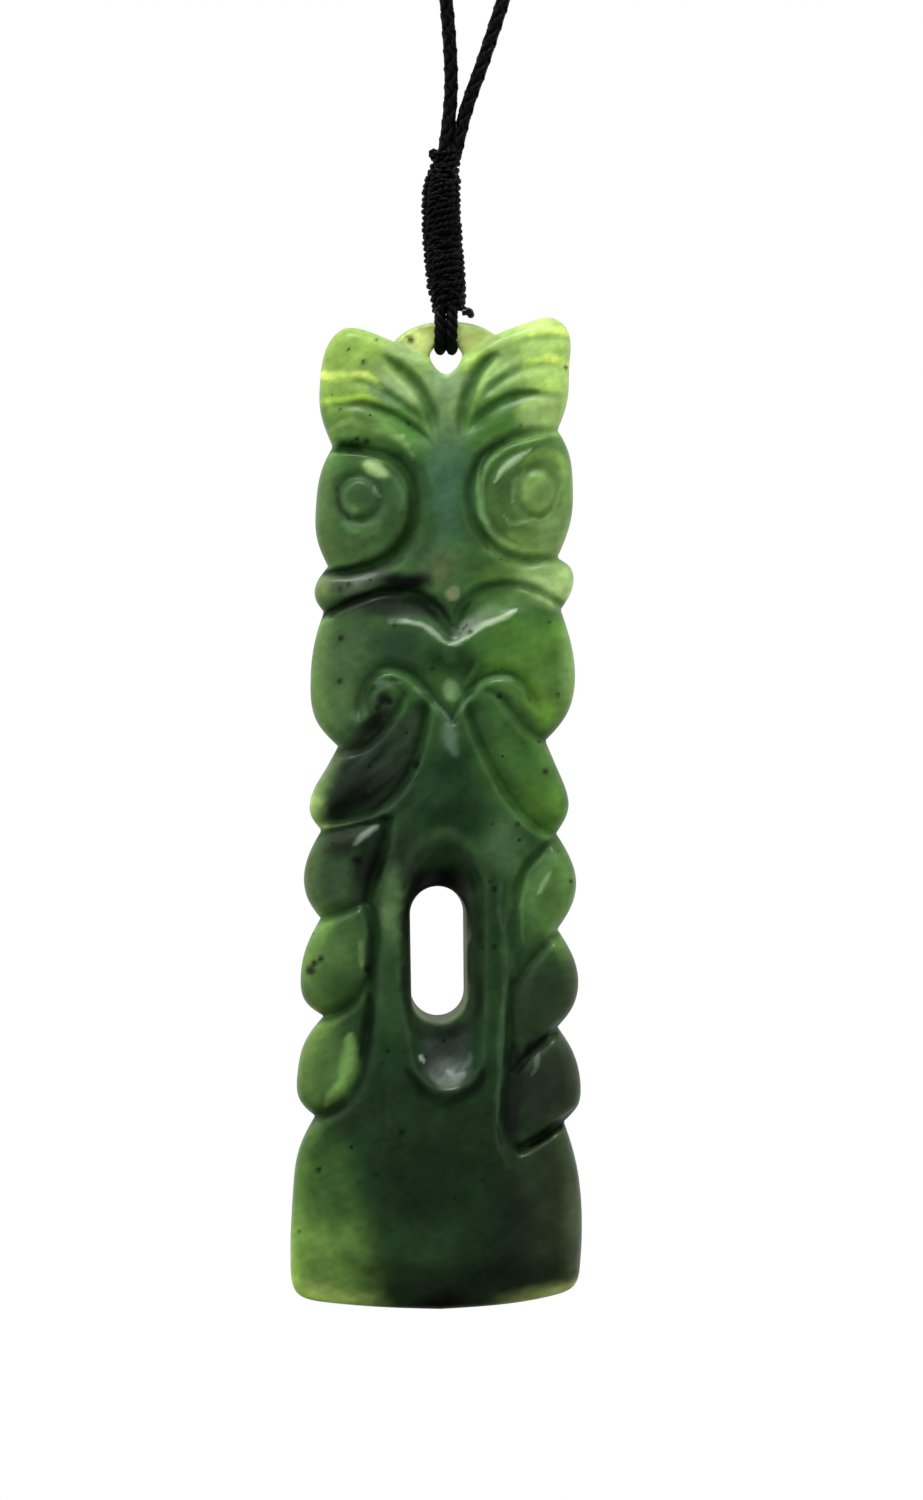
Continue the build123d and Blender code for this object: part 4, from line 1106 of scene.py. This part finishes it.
# Streaks along a line, some in the stone and some painted shade and highlights: (points, half width, colour,
# strength)
streaks = {
    # Painted light along the left brow's crests, which catch light and pass it, in the stone's lime
    "left brow lime, upper": ([(-12.0, 5.4), (-9.4, 5.35), (-7.2, 5.5), (-5.6, 6.2)], 0.42, "#d2ee7a", 0.9),
    "left brow lime, lower": ([(-12.0, 7.8), (-9.4, 7.4), (-7.2, 7.3), (-5.2, 7.9)], 0.32, "#a6cc50", 0.8),
    "rim's shaded top": ([(-4.7, 2.1), (-3.3, 0.9), (-1.2, 0.4), (1.3, 0.4), (3.0, 0.75), (4.7, 1.9)], 0.35,
                         "#86a06a", 0.7),
    "left brow grey": ([(-7.0, 6.5), (-5.6, 7.2), (-4.4, 8.0)], 0.6, "#6c8a68", 0.7),
    "left brow pale foot": ([(-11.0, 10.4), (-8.6, 9.6), (-6.0, 9.8), (-4.2, 11.0), (-3.0, 12.6)], 0.4,
                            "#7f9f5c", 0.6),
    # Painted light along the right brow's crests, in the stone's lime
    "right brow lime, top": ([(7.6, 1.5), (9.4, 1.2), (11.4, 1.4)], 0.38, "#d4ec7c", 0.7),
    "right brow lime, upper": ([(6.8, 4.3), (9.0, 3.8), (11.4, 4.3)], 0.4, "#d2ee78", 0.85),
    "right brow lime, lower": ([(7.6, 6.4), (9.6, 6.3), (11.4, 6.7)], 0.35, "#b4d468", 0.6),
    "left socket's upper lip": ([(-11.4, 10.8), (-9.4, 10.7), (-7.4, 10.9), (-5.6, 11.4)], 0.45, "#628849",
                                0.55),
    "left socket shade": ([(-10.2, 12.1), (-7.6, 12.1), (-5.2, 12.7), (-3.7, 14.0), (-3.0, 15.9),
                           (-3.0, 18.2), (-4.0, 20.4), (-6.0, 22.1), (-9.6, 23.0)], 0.95, "#1f3a14", 0.95),
    # Painted shade on the left socket's inner wall and at its foot
    "left socket's inner wall": ([(-3.4, 12.4), (-2.2, 14.2), (-1.75, 16.2), (-1.8, 18.4), (-2.8, 20.8)], 0.5,
                                 "#284e1d", 0.65),
    "left socket's dark foot": ([(-11.2, 23.15), (-8.4, 23.1), (-6.0, 22.75), (-4.0, 21.8)], 0.5, "#1f301c",
                                0.85),
    "left eye's glint": ([(-5.2, 14.1), (-4.4, 14.8), (-3.9, 16.0), (-3.9, 17.2)], 0.24, "#5d7f64", 0.6),
    "right socket shade": ([(5.2, 11.3), (3.8, 12.2), (2.5, 13.7), (1.8, 15.7), (2.1, 18.4), (3.5, 20.8)],
                           0.75, "#294a1c", 0.8),
    "right socket's ends, top": ([(11.0, 10.1), (8.4, 10.4), (5.9, 11.0)], 0.5, "#6b9450", 0.6),
    "right socket's ends, foot": ([(4.6, 21.4), (7.0, 22.0), (10.4, 21.8)], 0.5, "#618a46", 0.6),
    # Painted highlight along the right eyeball's rim
    "right socket light": ([(5.2, 12.4), (3.6, 14.0), (3.1, 16.0), (3.6, 18.6), (5.4, 20.6)], 0.22,
                           "#6c8f58", 0.6),
    # Painted shade in the left lip's carved line, and painted highlights on the lip's crest below it
    "left lip groove's black": ([(-11.4, 27.1), (-10.0, 26.4), (-8.2, 25.45), (-6.2, 24.7), (-4.2, 24.3),
                                 (-2.4, 24.6), (-1.0, 25.7), (0.4, 27.8)], 0.34, "#0c120c", 0.8),
    "lip crest, left": ([(-5.4, 27.3), (-3.7, 27.5), (-1.9, 28.1), (-0.6, 29.0), (0.6, 29.5), (1.6, 29.1)],
                        0.22, "#8b9a85", 0.85),
    "lip crest, right": ([(0.2, 29.6), (1.5, 29.1), (3.1, 28.1), (4.9, 27.2), (6.6, 26.5)], 0.26, "#a6b79a",
                         0.9),
    # Painted shade on the underside of the left lip
    "left lip's dark underside": ([(-10.6, 27.2), (-9.0, 26.5), (-7.5, 25.9), (-5.8, 25.5), (-4.4, 25.7)],
                                  0.42, "#121910", 0.8),
    "mouth's dark, left": ([(-4.0, 25.8), (-2.6, 25.6), (-1.5, 26.5), (-0.3, 27.9), (0.6, 28.9)], 0.4,
                           "#0c150c", 0.8),
    "mouth's dark, right": ([(0.8, 28.2), (1.4, 26.9), (2.1, 25.9)], 0.32, "#15230f", 0.7),
    "lip groove light": ([(-1.4, 25.9), (-0.9, 26.6), (0.0, 27.6)], 0.2, "#4c5a4a", 0.6),
    # Painted shade in the left pupil's ring on its left side
    "left pupil's black arc": ([(-10.0, 15.2), (-9.8, 16.5), (-9.2, 17.5), (-8.5, 18.2)], 0.22,
                               "#142210", 0.9),
    "left pupil's glint": ([(-6.9, 15.2), (-6.4, 15.8), (-5.8, 16.2)], 0.2, "#82a180", 0.7),
    # Painted highlight along the lower edge of the left pupil's ring
    "left pupil's foot": ([(-9.3, 18.5), (-8.3, 19.3), (-7.1, 19.5), (-5.9, 19.0)], 0.24, "#587846", 0.6),
    "right pupil's lime arc": ([(10.3, 15.0), (10.15, 16.3), (9.7, 17.3), (8.9, 18.0), (7.9, 18.2)], 0.2,
                               "#a2c466", 0.8),
    "right pupil's glint, left": ([(7.1, 13.7), (6.5, 14.6), (6.1, 15.7), (6.1, 16.8)], 0.24, "#7d9f68", 0.7),
    "right pupil's glint, foot": ([(5.3, 17.8), (5.9, 18.5), (6.8, 18.7), (7.7, 18.3)], 0.22, "#7b9b66", 0.6),
    # Painted shade: the brows' grooves darker and greener than their ridges
    "left brow groove, inner": ([(-5.4, 3.4), (-4.0, 4.5), (-2.6, 6.1), (-1.6, 8.2), (-1.0, 10.6)], 0.5,
                                "#5b8742", 0.85),
    "left brow groove, lower": ([(-6.6, 8.1), (-4.9, 8.7), (-3.2, 9.8), (-1.3, 11.4)], 0.5, "#4a7434", 0.8),
    "left brow groove, middle": ([(-5.6, 6.7), (-4.0, 7.8), (-2.4, 9.4)], 0.34, "#5a823a", 0.7),
    "right brow groove, inner": ([(1.5, 10.8), (1.6, 8.7), (2.3, 6.4), (3.5, 4.4), (4.6, 3.4)], 0.55,
                                 "#4b7635", 0.85),
    "right brow groove, lower": ([(1.8, 10.6), (3.2, 8.7), (5.0, 7.5), (6.8, 6.9), (8.4, 6.7)], 0.5,
                                 "#5c8d42", 0.85),
    "right brow groove, middle": ([(3.4, 7.2), (4.6, 5.9), (6.4, 5.0)], 0.34, "#5f8842", 0.7),
    "right pupil's lime": ([(7.0, 13.2), (8.6, 12.4), (10.2, 12.9), (10.8, 14.4)], 0.5, "#7fa04f", 0.6),
    "right eye's glint": ([(4.6, 15.0), (5.4, 13.8), (6.4, 12.8), (7.6, 11.9)], 0.24, "#9cb98f", 0.8),
    "right eye's inner ring": ([(4.2, 12.1), (3.1, 13.4), (2.7, 14.9), (2.8, 16.8), (3.6, 18.9),
                                (5.2, 20.9)], 0.18, "#6f9a62", 0.6),
    "left curl's glint": ([(-6.3, 33.4), (-5.2, 33.0), (-4.1, 32.9)], 0.22, "#7d9582", 0.7),
    "left tongue glint": ([(-3.1, 33.3), (-2.4, 33.6), (-1.7, 34.0)], 0.22, "#60785f", 0.6),
    "left curl's shade": ([(-5.2, 32.1), (-6.3, 32.6), (-7.0, 33.8), (-7.1, 35.8)], 0.42, "#1b3216", 0.8),
    "left curl's dark tip": ([(-4.8, 32.5), (-4.0, 33.3), (-3.5, 34.2)], 0.3, "#1c2d18", 0.7),
    "right curl's groove": ([(3.2, 32.2), (5.0, 31.7), (6.8, 32.2), (8.0, 33.3)], 0.34, "#5b8734", 0.65),
    "right curl's shade": ([(4.6, 32.2), (5.8, 32.7), (6.8, 33.5), (7.5, 34.8)], 0.5, "#34592a", 0.75),
    "right curl's glint": ([(2.6, 33.5), (3.5, 32.8), (4.9, 32.6), (6.2, 33.0)], 0.2, "#6f8c60", 0.45),
    "right curl's outer light": ([(7.6, 32.6), (8.5, 33.6), (9.0, 35.0), (9.1, 36.4)], 0.5, "#5f8c38", 0.65),
    "right curl's dark root": ([(2.7, 32.8), (2.1, 33.6), (1.6, 34.7)], 0.36, "#0f240a", 0.8),
    # Painted glints along the tongue's V, and a painted highlight on the chin's fold
    "chin light": ([(-1.1, 34.9), (-0.3, 35.7), (0.4, 36.5)], 0.22, "#738a76", 0.7),
    "chin light, right": ([(2.0, 34.2), (1.3, 35.5), (0.8, 36.5)], 0.2, "#5c765c", 0.6),
    "chin's pale fold": ([(0.3, 36.8), (0.5, 38.2), (0.9, 39.8)], 0.5, "#66806a", 0.6),
    "left shoulder light": ([(-3.8, 38.6), (-5.2, 41.0), (-7.2, 42.8)], 0.5, "#2f382d", 0.5),
    "leaf one's glint": ([(-8.2, 47.5), (-7.2, 46.9), (-6.2, 46.0)], 0.32, "#6e7e70", 0.85),
    "leaf two's glint": ([(-7.8, 56.2), (-7.6, 58.8)], 0.22, "#74925e", 0.7),
    # Painted shade on the groove's wall beside leaf two
    "leaf two's side": ([(-7.1, 54.4), (-6.8, 57.4), (-6.9, 60.2)], 0.45, "#142011", 0.7),
    "right leaves' groove": ([(7.0, 50.4), (6.2, 53.0), (6.1, 57.0), (6.1, 59.6)], 0.5, "#4a6b3e", 0.55),
    # Painted shade beside the left leaf three, and painted light along its lower edge
    "leaf three's side": ([(-7.0, 61.4), (-7.1, 65.0), (-7.5, 68.2), (-8.8, 71.0), (-11.2, 72.3)], 0.6,
                          "#0e190c", 0.85),
    "leaf three's light": ([(-8.3, 64.6), (-8.6, 66.9), (-9.4, 69.2), (-10.9, 71.0)], 0.8, "#8ab865", 0.85),
    "right leaf one's glint": ([(8.2, 52.2), (8.9, 51.0), (9.4, 49.9)], 0.22, "#85a676", 0.7),
    "right leaf one's edge": ([(9.4, 47.8), (7.6, 50.4), (6.9, 53.4), (7.0, 57.0)], 0.2, "#5f8a4c", 0.6),
    "right crest line": ([(5.0, 51.0), (4.9, 54.0), (5.4, 59.5), (5.2, 62.0), (4.9, 66.0), (4.8, 70.0),
                          (5.0, 74.0)], 0.3, "#3f5b41", 0.7),
    # Painted shade in the hollows beside the right leaves
    "right pocket": ([(6.2, 65.8), (6.1, 69.5), (6.1, 72.5), (6.2, 75.6)], 0.9, "#050a06", 0.9),
    "right leaf three hollow": ([(9.2, 65.0), (7.6, 66.6), (6.6, 68.2)], 0.45, "#0a100b", 0.85),
    "right leaf three glint": ([(7.6, 68.8), (8.2, 67.8), (8.4, 66.8)], 0.22, "#5c6d5c", 0.65),
    # Painted shade in the undercut below the right leaf three
    "right foot slash": ([(10.6, 72.9), (9.0, 74.0), (7.6, 75.0)], 0.4, "#060907", 0.95),
    "slot's fibres": ([(1.5, 53.0), (2.0, 55.4), (1.6, 58.2), (1.8, 60.6), (1.5, 62.2)], 0.2, "#80805f", 0.5),
    "scoop's pale lip, upper": ([(-4.2, 51.0), (-2.4, 47.6), (-0.2, 46.6), (2.2, 47.6), (4.0, 51.4)], 0.5,
                                "#36502f", 0.6),
    # Painted shade where the scoop drops into the slot, at its upper and lower edges
    "slot's upper edge": ([(-3.6, 56.0), (-3.3, 53.2), (-2.2, 51.2), (-0.7, 50.8), (0.9, 51.3), (1.9, 53.0),
                           (2.2, 55.4)], 0.6, "#060906", 0.9),
    "slot's lower edge": ([(-3.8, 58.5), (-3.7, 61.6), (-2.8, 64.0), (-0.8, 65.0), (1.3, 64.7), (2.4, 63.2),
                           (2.7, 60.6)], 0.5, "#10190e", 0.7),
    "scoop's glint": ([(-2.5, 66.7), (-2.2, 67.0), (-1.9, 67.5)], 0.13, "#9fb0a6", 0.9),
    # Painted sheen on the scoop's foot, and a painted shadow under it
    "scoop's pale foot": ([(-1.4, 68.5), (-0.4, 69.0), (0.7, 69.0), (1.6, 68.5)], 0.5, "#7a8478", 0.6),
    "scoop's pale right": ([(1.4, 68.2), (2.0, 67.5), (2.3, 66.6)], 0.38, "#5c6c58", 0.6),
    "under the scoop": ([(-3.4, 68.0), (-2.2, 69.9), (0.1, 70.7), (2.4, 69.9), (3.4, 68.2)], 0.6, "#0d1a0d",
                        0.9),
}
# Black flecks of chromite: (across, down, half width)
flecks = [
    (-8.8, 2.9, 0.14), (-7.5, 4.0, 0.20), (-6.3, 2.0, 0.16), (-9.5, 8.3, 0.13), (-8.1, 11.0, 0.20),
    (-7.2, 11.2, 0.22), (-8.6, 11.2, 0.14), (-3.4, 9.6, 0.20), (-3.2, 1.9, 0.42), (-3.5, 1.7, 0.20),
    (10.9, 4.5, 0.20), (6.8, 9.8, 0.20), (7.2, 9.3, 0.16), (-8.8, 24.1, 0.26), (-9.5, 24.6, 0.20),
    (-1.2, 31.8, 0.16), (-0.4, 30.8, 0.16), (9.3, 27.6, 0.18), (-9.5, 29.0, 0.36), (-4.6, 27.8, 0.18),
    (-9.6, 32.9, 0.22), (4.8, 34.3, 0.20), (10.1, 34.2, 0.20), (-5.7, 34.6, 0.50), (-6.2, 35.4, 0.42),
    (-7.6, 36.3, 0.34), (-6.8, 36.2, 0.36), (-5.1, 34.8, 0.30), (-2.7, 40.5, 0.34), (-8.2, 49.1, 0.36),
    (-7.8, 49.2, 0.30), (6.5, 45.8, 0.22), (4.4, 51.7, 0.20), (4.0, 51.0, 0.18), (4.4, 56.9, 0.24),
    (-12.3, 59.1, 0.34), (-11.3, 58.0, 0.24), (-11.9, 58.4, 0.22), (-7.1, 58.9, 0.26), (9.0, 41.1, 0.20),
    (11.3, 51.0, 0.16), (-8.7, 50.2, 0.20), (4.1, 45.8, 0.16), (3.3, 74.7, 0.20), (-5.6, 67.4, 0.16),
    (-11.5, 77.1, 0.20), (-7.9, 78.2, 0.18), (-6.3, 77.6, 0.16), (1.6, 28.2, 0.16), (2.2, 28.5, 0.20),
    (1.9, 27.8, 0.12), (1.2, 28.6, 0.12), (6.9, 38.4, 0.16), (-10.6, 40.0, 0.18), (-4.0, 73.7, 0.20),
    (0.8, 79.6, 0.14), (6.7, 83.7, 0.16), (-13.3, 82.8, 0.12),
]


def on_colour_scale(hex_code):
    """An sRGB hex value as three linear numbers."""
    return np.array(colour(hex_code)[:3])


def painted(colours, hex_code, share):
    """The colours with a share of one other colour laid over them."""
    return colours * (1 - share) + on_colour_scale(hex_code) * share


def wander(points, size, seed):
    """Random values at points, mostly between -1 and 1, that change smoothly over a given size and finer."""
    dice = np.random.default_rng(seed)
    total = np.zeros(len(points))
    for finer in range(3):
        for _ in range(6):
            way = dice.normal(size=3)
            wave = way / np.linalg.norm(way) * 2 * math.pi / size * 2.1**finer
            total += np.sin(points @ wave + dice.uniform(0, 2 * math.pi)) / 1.8**finer
    return total / 4


# The edges of clouds and streaks wander, as they do in a stone that was pressed and folded
drift_size = 4.5
drift_reach = 0.22
drift = np.stack([wander(skin, drift_size, 11), wander(skin, drift_size, 12)], axis=1)
skin_x, skin_y, skin_z = skin.T
drawn_x, drawn_z = skin_x + drift_reach * drift[:, 0], skin_z + drift_reach * drift[:, 1]
# A cloud is half gone at this share of its half width, and its edge drifts in and out by the next share
cloud_edge = 0.9
edge_drift = 0.10
patch_softness = 0.5


def cloud_share(middle, half_width, half_height, turned_by, softness=1.1):
    """How much of a cloud each corner of the skin has, from 0 to 1, fading over a share of its half width."""
    tilt = math.radians(turned_by)
    x = (drawn_x - middle[0]) * math.cos(tilt) + (drawn_z - middle[1]) * math.sin(tilt)
    z = (drawn_z - middle[1]) * math.cos(tilt) - (drawn_x - middle[0]) * math.sin(tilt)
    outward = np.hypot(x / half_width, z / half_height) + edge_drift * drift[:, 0]
    return 1 - ease((outward - cloud_edge + softness / 2) / softness)


levels = [level for level, _ in base_colours]
shades = np.array([on_colour_scale(shade) for _, shade in base_colours])
tint = np.stack([np.interp(skin_z, levels, shades[:, channel]) for channel in range(3)], axis=1)

# The rim behind the brows is thin, and the light that passes through it is painted on as a pale yellow glow
painted_rim_glow = ease(read_chart(edge_chart, skin_x, skin_z) / 0.4 + 0.3)
painted_rim_glow = (painted_rim_glow * (np.abs(skin_x) < 6) * (skin_z < 5))[:, None]
tint = painted(tint, "#a9b873", painted_rim_glow)

# Only the widest clouds go right through the stone: the back is plain
front_until = 1.5
front_fade = 2.5
wide_cloud = 2.5
wide_cloud_fade = 1.5
on_front = ease((front_until - skin_y) / front_fade)[:, None]
for middle, half_width, half_height, turned_by, shade, strength in clouds_and_painted_light.values():
    through = 0.7 * ease((min(half_width, half_height) - wide_cloud) / wide_cloud_fade)
    share = strength * cloud_share(middle, half_width, half_height, turned_by)[:, None]
    share = share * (on_front + (1 - on_front) * through)
    tint = painted(tint, shade, share)
for middle, half_width, half_height, turned_by, shade, strength in patches.values():
    share = strength * cloud_share(middle, half_width, half_height, turned_by, patch_softness)[:, None]
    share = share * on_front
    tint = painted(tint, shade, share)

# The foot's edge is thin, and the light that passes through it is painted on as an olive glow at both
# corners, more at the right one
foot_glow_height = 1.9
foot_glow = 1 - ease((foot_at(drawn_x) - drawn_z) / foot_glow_height)
at_corners = ease((np.abs(drawn_x + 0.4) - 3.6) / 5.0)
painted_foot_glow = ((0.65 + 0.02 * drawn_x) * foot_glow * at_corners)[:, None]
tint = painted(tint, "#a9bd74", painted_foot_glow)

# The slot's wall is sawn and unpolished. It is dark higher up, and light is painted on its lower part, most
# at the right
wall_pales_at = 59.5
wall_fade = 3.0
slot_share = 0.85 * (1 - ease(slot_edge(skin_y, skin_x, skin_z) / 0.25))[:, None]
lit_wall_foot = ease((skin_z - wall_pales_at + 0.3 * skin_x) / wall_fade)[:, None]
wall = painted(on_colour_scale("#3f4834"), "#5f694a", lit_wall_foot)
tint = tint * (1 - slot_share) + wall * slot_share

# Streaks are widest in their middle and narrow towards both ends, and fade out sideways from their core
streak_end = 0.3
streak_core = 0.4
streak_fade = 1.2
for points, half_width, shade, strength in streaks.values():
    away, _, along, length = near_line(smooth_line(points), 3 * half_width)
    here = np.clip(read_chart(along / length, drawn_x, drawn_z), 0, 1)
    taper = streak_end + (1 - streak_end) * np.sin(math.pi * here) ** 0.6
    outward = read_chart(away, drawn_x, drawn_z) / (half_width * taper)
    share = strength * (1 - ease((outward - streak_core) / streak_fade))
    share = (share * (0.85 + 0.25 * drift[:, 1]))[:, None].clip(0, 1) * on_front
    tint = painted(tint, shade, share)

# Shade is painted into the cuts, darker and more saturated, less so in the clear stone at the upper right.
# Light is painted on the crests, a little shade in the dips, and a glow on the thin sides, which pass more
# light, the more so the darker the stone is.
deepest_cut_shade = 0.75
cut_darkening = (0.50, 0.33, 0.56)
crest_height = 0.15
crest_painted_light = (0.16, 0.13, 0.08)
side_width = 2.2
side_painted_glow = (0.60, 0.52, 0.22)
# How much glow is painted on the sides down the stone, and how much less with each mm to the right
side_levels = (2, 10, 24, 30, 72, 78)
side_strengths = (0.3, 0.5, 0.6, 1.4, 1.7, 0.7)
side_loss = 0.025
front_facing = skin_y < 0
painted_cut_shade = (np.minimum(read_chart(cut_shade, skin_x, skin_z), deepest_cut_shade) * front_facing)[:, None]
clearness = 0.55 * cloud_share((4.0, 13.0), 12.0, 15.0, 0)[:, None]
tint = tint * (1 - painted_cut_shade * (1 - clearness) * cut_darkening)
crest_chart = softened(front_chart - softened(front_chart, 30), 2)
crest = (read_chart(crest_chart, skin_x, skin_z) * front_facing)[:, None]
tint = tint * (1 + np.clip(crest / crest_height, -0.6, 1) * crest_painted_light)
painted_side_glow = 1 - ease(-read_chart(edge_chart, skin_x, skin_z) / side_width)
painted_side_glow *= np.interp(skin_z, side_levels, side_strengths)
painted_side_glow *= 1.1 - side_loss * skin_x
tint = tint * (1 + painted_side_glow[:, None] * side_painted_glow)

# The whole stone is mottled, over some millimetres and more finely
mottle = 0.13 * wander(skin, 3.0, 13) + 0.10 * wander(skin, 0.9, 14)
tint = tint * (1.12 + mottle)[:, None]

# The grain of the stone: fine lines, strongest in the left shoulder and at the scoop's foot
grain_lean = math.radians(40)
grain_size = 1.1
grain_everywhere = 0.04
grain_in_spots = 0.30
grained_spots = [((-6.6, 41.5), 5.0, 4.5, -30), ((0.3, 68.0), 2.4, 2.2, 0)]
with_grain = skin_x * math.cos(grain_lean) - skin_z * math.sin(grain_lean)
over_grain = skin_x * math.sin(grain_lean) + skin_z * math.cos(grain_lean)
grain = wander(np.stack([with_grain / 6, over_grain, skin_y / 3], axis=1), grain_size, 15)
grained = np.full(len(skin), grain_everywhere)
for spot in grained_spots:
    grained += grain_in_spots * on_front[:, 0] * cloud_share(*spot)
tint = tint * (1 + grained * grain)[:, None]

# The flecks are uneven in size and fade at their edge
fleck_core = 0.4
fleck_fade = 1.1
for fleck_x, fleck_z, half_width in flecks:
    outward = np.hypot(skin_x - fleck_x, skin_z - fleck_z) / (half_width * (1 + 0.5 * drift[:, 0]))
    share = (0.9 * (1 - ease((outward - fleck_core) / fleck_fade)) * front_facing)[:, None]
    tint = painted(tint, "#0a0d09", share)

mesh = bpy.data.meshes.new("carved_greenstone")
mesh.from_pydata(corners.tolist(), [], quads.tolist())
stone_colour = mesh.attributes.new("stone_colour", "FLOAT_COLOR", "POINT")
stone_colour.data.foreach_set("color", np.concatenate([tint, np.ones((len(tint), 1))], axis=1).ravel())

# Spots painted in shade, given little polish so that they show no gloss: (middle, half width, half height,
# degrees turned clockwise, what is lost)
matt_shaded_spots = [((-8.8, 46.9), 3.4, 1.2, -8, 0.8), ((-6.5, 26.1), 5.6, 1.2, -5, 0.6)]
polished = 1 - 0.9 * slot_share[:, 0] - 0.8 * painted_cut_shade[:, 0]
for middle, half_width, half_height, turned_by, loss in matt_shaded_spots:
    polished -= loss * on_front[:, 0] * cloud_share(middle, half_width, half_height, turned_by)
mesh.attributes.new("polished", "FLOAT", "POINT").data.foreach_set("value", np.clip(polished, 0.1, 1))
mesh.shade_smooth()
mesh.normals_split_custom_set_from_vertices(normals.tolist())
carved_stone = bpy.data.objects.new("carved_greenstone", mesh)
bpy.context.scene.collection.objects.link(carved_stone)

# Nephrite, hand polished: a waxy to glassy gloss over a stone that light enters a millimetre or two, with
# felted clouds and black specks of chromite
cloud_size = 5.0
felt_size = 0.9
speck_spacing = 1.7
speck_radius = 0.13
speck_share = 0.12
light_reach = 1.4
nephrite, tree = new_material("polished_nephrite")
tone = add_node(tree, "Attribute", {}, attribute_name="stone_colour")
place = add_node(tree, "TexCoord", {})
clouded = add_node(tree, "TexNoise", {"Vector": place.outputs["Object"], "Scale": 1 / (cloud_size * mm),
                                      "Detail": 4.0, "Distortion": 0.6})
felted = add_node(tree, "TexNoise", {"Vector": place.outputs["Object"], "Scale": 1 / (felt_size * mm),
                                     "Detail": 5.0, "Roughness": 0.6})
cloud_light = add_node(tree, "MapRange", {"Value": clouded.outputs[0], "From Min": 0.3, "From Max": 0.7,
                                          "To Min": 0.80, "To Max": 1.22})
felt_light = add_node(tree, "MapRange", {"Value": felted.outputs[0], "From Min": 0.3, "From Max": 0.7,
                                         "To Min": 0.90, "To Max": 1.10})
light = add_node(tree, "Math", {0: cloud_light.outputs[0], 1: felt_light.outputs[0]}, operation="MULTIPLY")
mottled = add_node(tree, "VectorMath", {0: tone.outputs["Color"], "Scale": light.outputs[0]},
                   operation="SCALE")
specks = add_node(tree, "TexVoronoi", {"Vector": place.outputs["Object"], "Scale": 1 / (speck_spacing * mm)})
pick = add_node(tree, "SeparateColor", {"Color": specks.outputs["Color"]})
few = add_node(tree, "Math", {0: pick.outputs[0], 1: 1 - speck_share}, operation="GREATER_THAN")
dot = add_node(tree, "MapRange", {
    "Value": specks.outputs["Distance"], "From Min": speck_radius / speck_spacing,
    "From Max": 1.6 * speck_radius / speck_spacing, "To Min": 0.85, "To Max": 0.0,
})
speck = add_node(tree, "Math", {0: few.outputs[0], 1: dot.outputs[0]}, operation="MULTIPLY")
flawed = add_node(tree, "Mix", {0: speck.outputs[0], 6: mottled.outputs[0], 7: colour("#0a0f0a")},
                  data_type="RGBA")
polish = add_node(tree, "MapRange", {"Value": felted.outputs[0], "From Min": 0.35, "From Max": 0.7,
                                     "To Min": 0.28, "To Max": 0.44})
# Cuts, the spots painted in shade and the sawn wall of the slot have less of the polish than the open faces
rubbed_up = add_node(tree, "Attribute", {}, attribute_name="polished")
matt = add_node(tree, "Mix", {0: rubbed_up.outputs["Fac"], 2: 0.62, 3: polish.outputs[0]})
sheen = add_node(tree, "MapRange", {"Value": rubbed_up.outputs["Fac"], "To Max": 0.12})
ripple = add_node(tree, "Bump", {"Height": clouded.outputs[0], "Strength": 0.15, "Distance": 0.3 * mm})
surface = add_node(tree, "BsdfPrincipled", {
    "Base Color": flawed.outputs[2],
    "Roughness": matt.outputs[0], "IOR": 1.61, "Specular IOR Level": 0.18, "Subsurface Weight": 0.5,
    "Subsurface Scale": light_reach * mm, "Subsurface Radius": (0.6, 1.0, 0.4), "Normal": ripple.outputs[0],
    "Coat Weight": sheen.outputs[0], "Coat Roughness": 0.08,
})
add_node(tree, "OutputMaterial", {"Surface": surface.outputs[0]})
carved_stone.data.materials.append(nephrite)
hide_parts("pendant_stone")
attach(carved_stone, "stone")
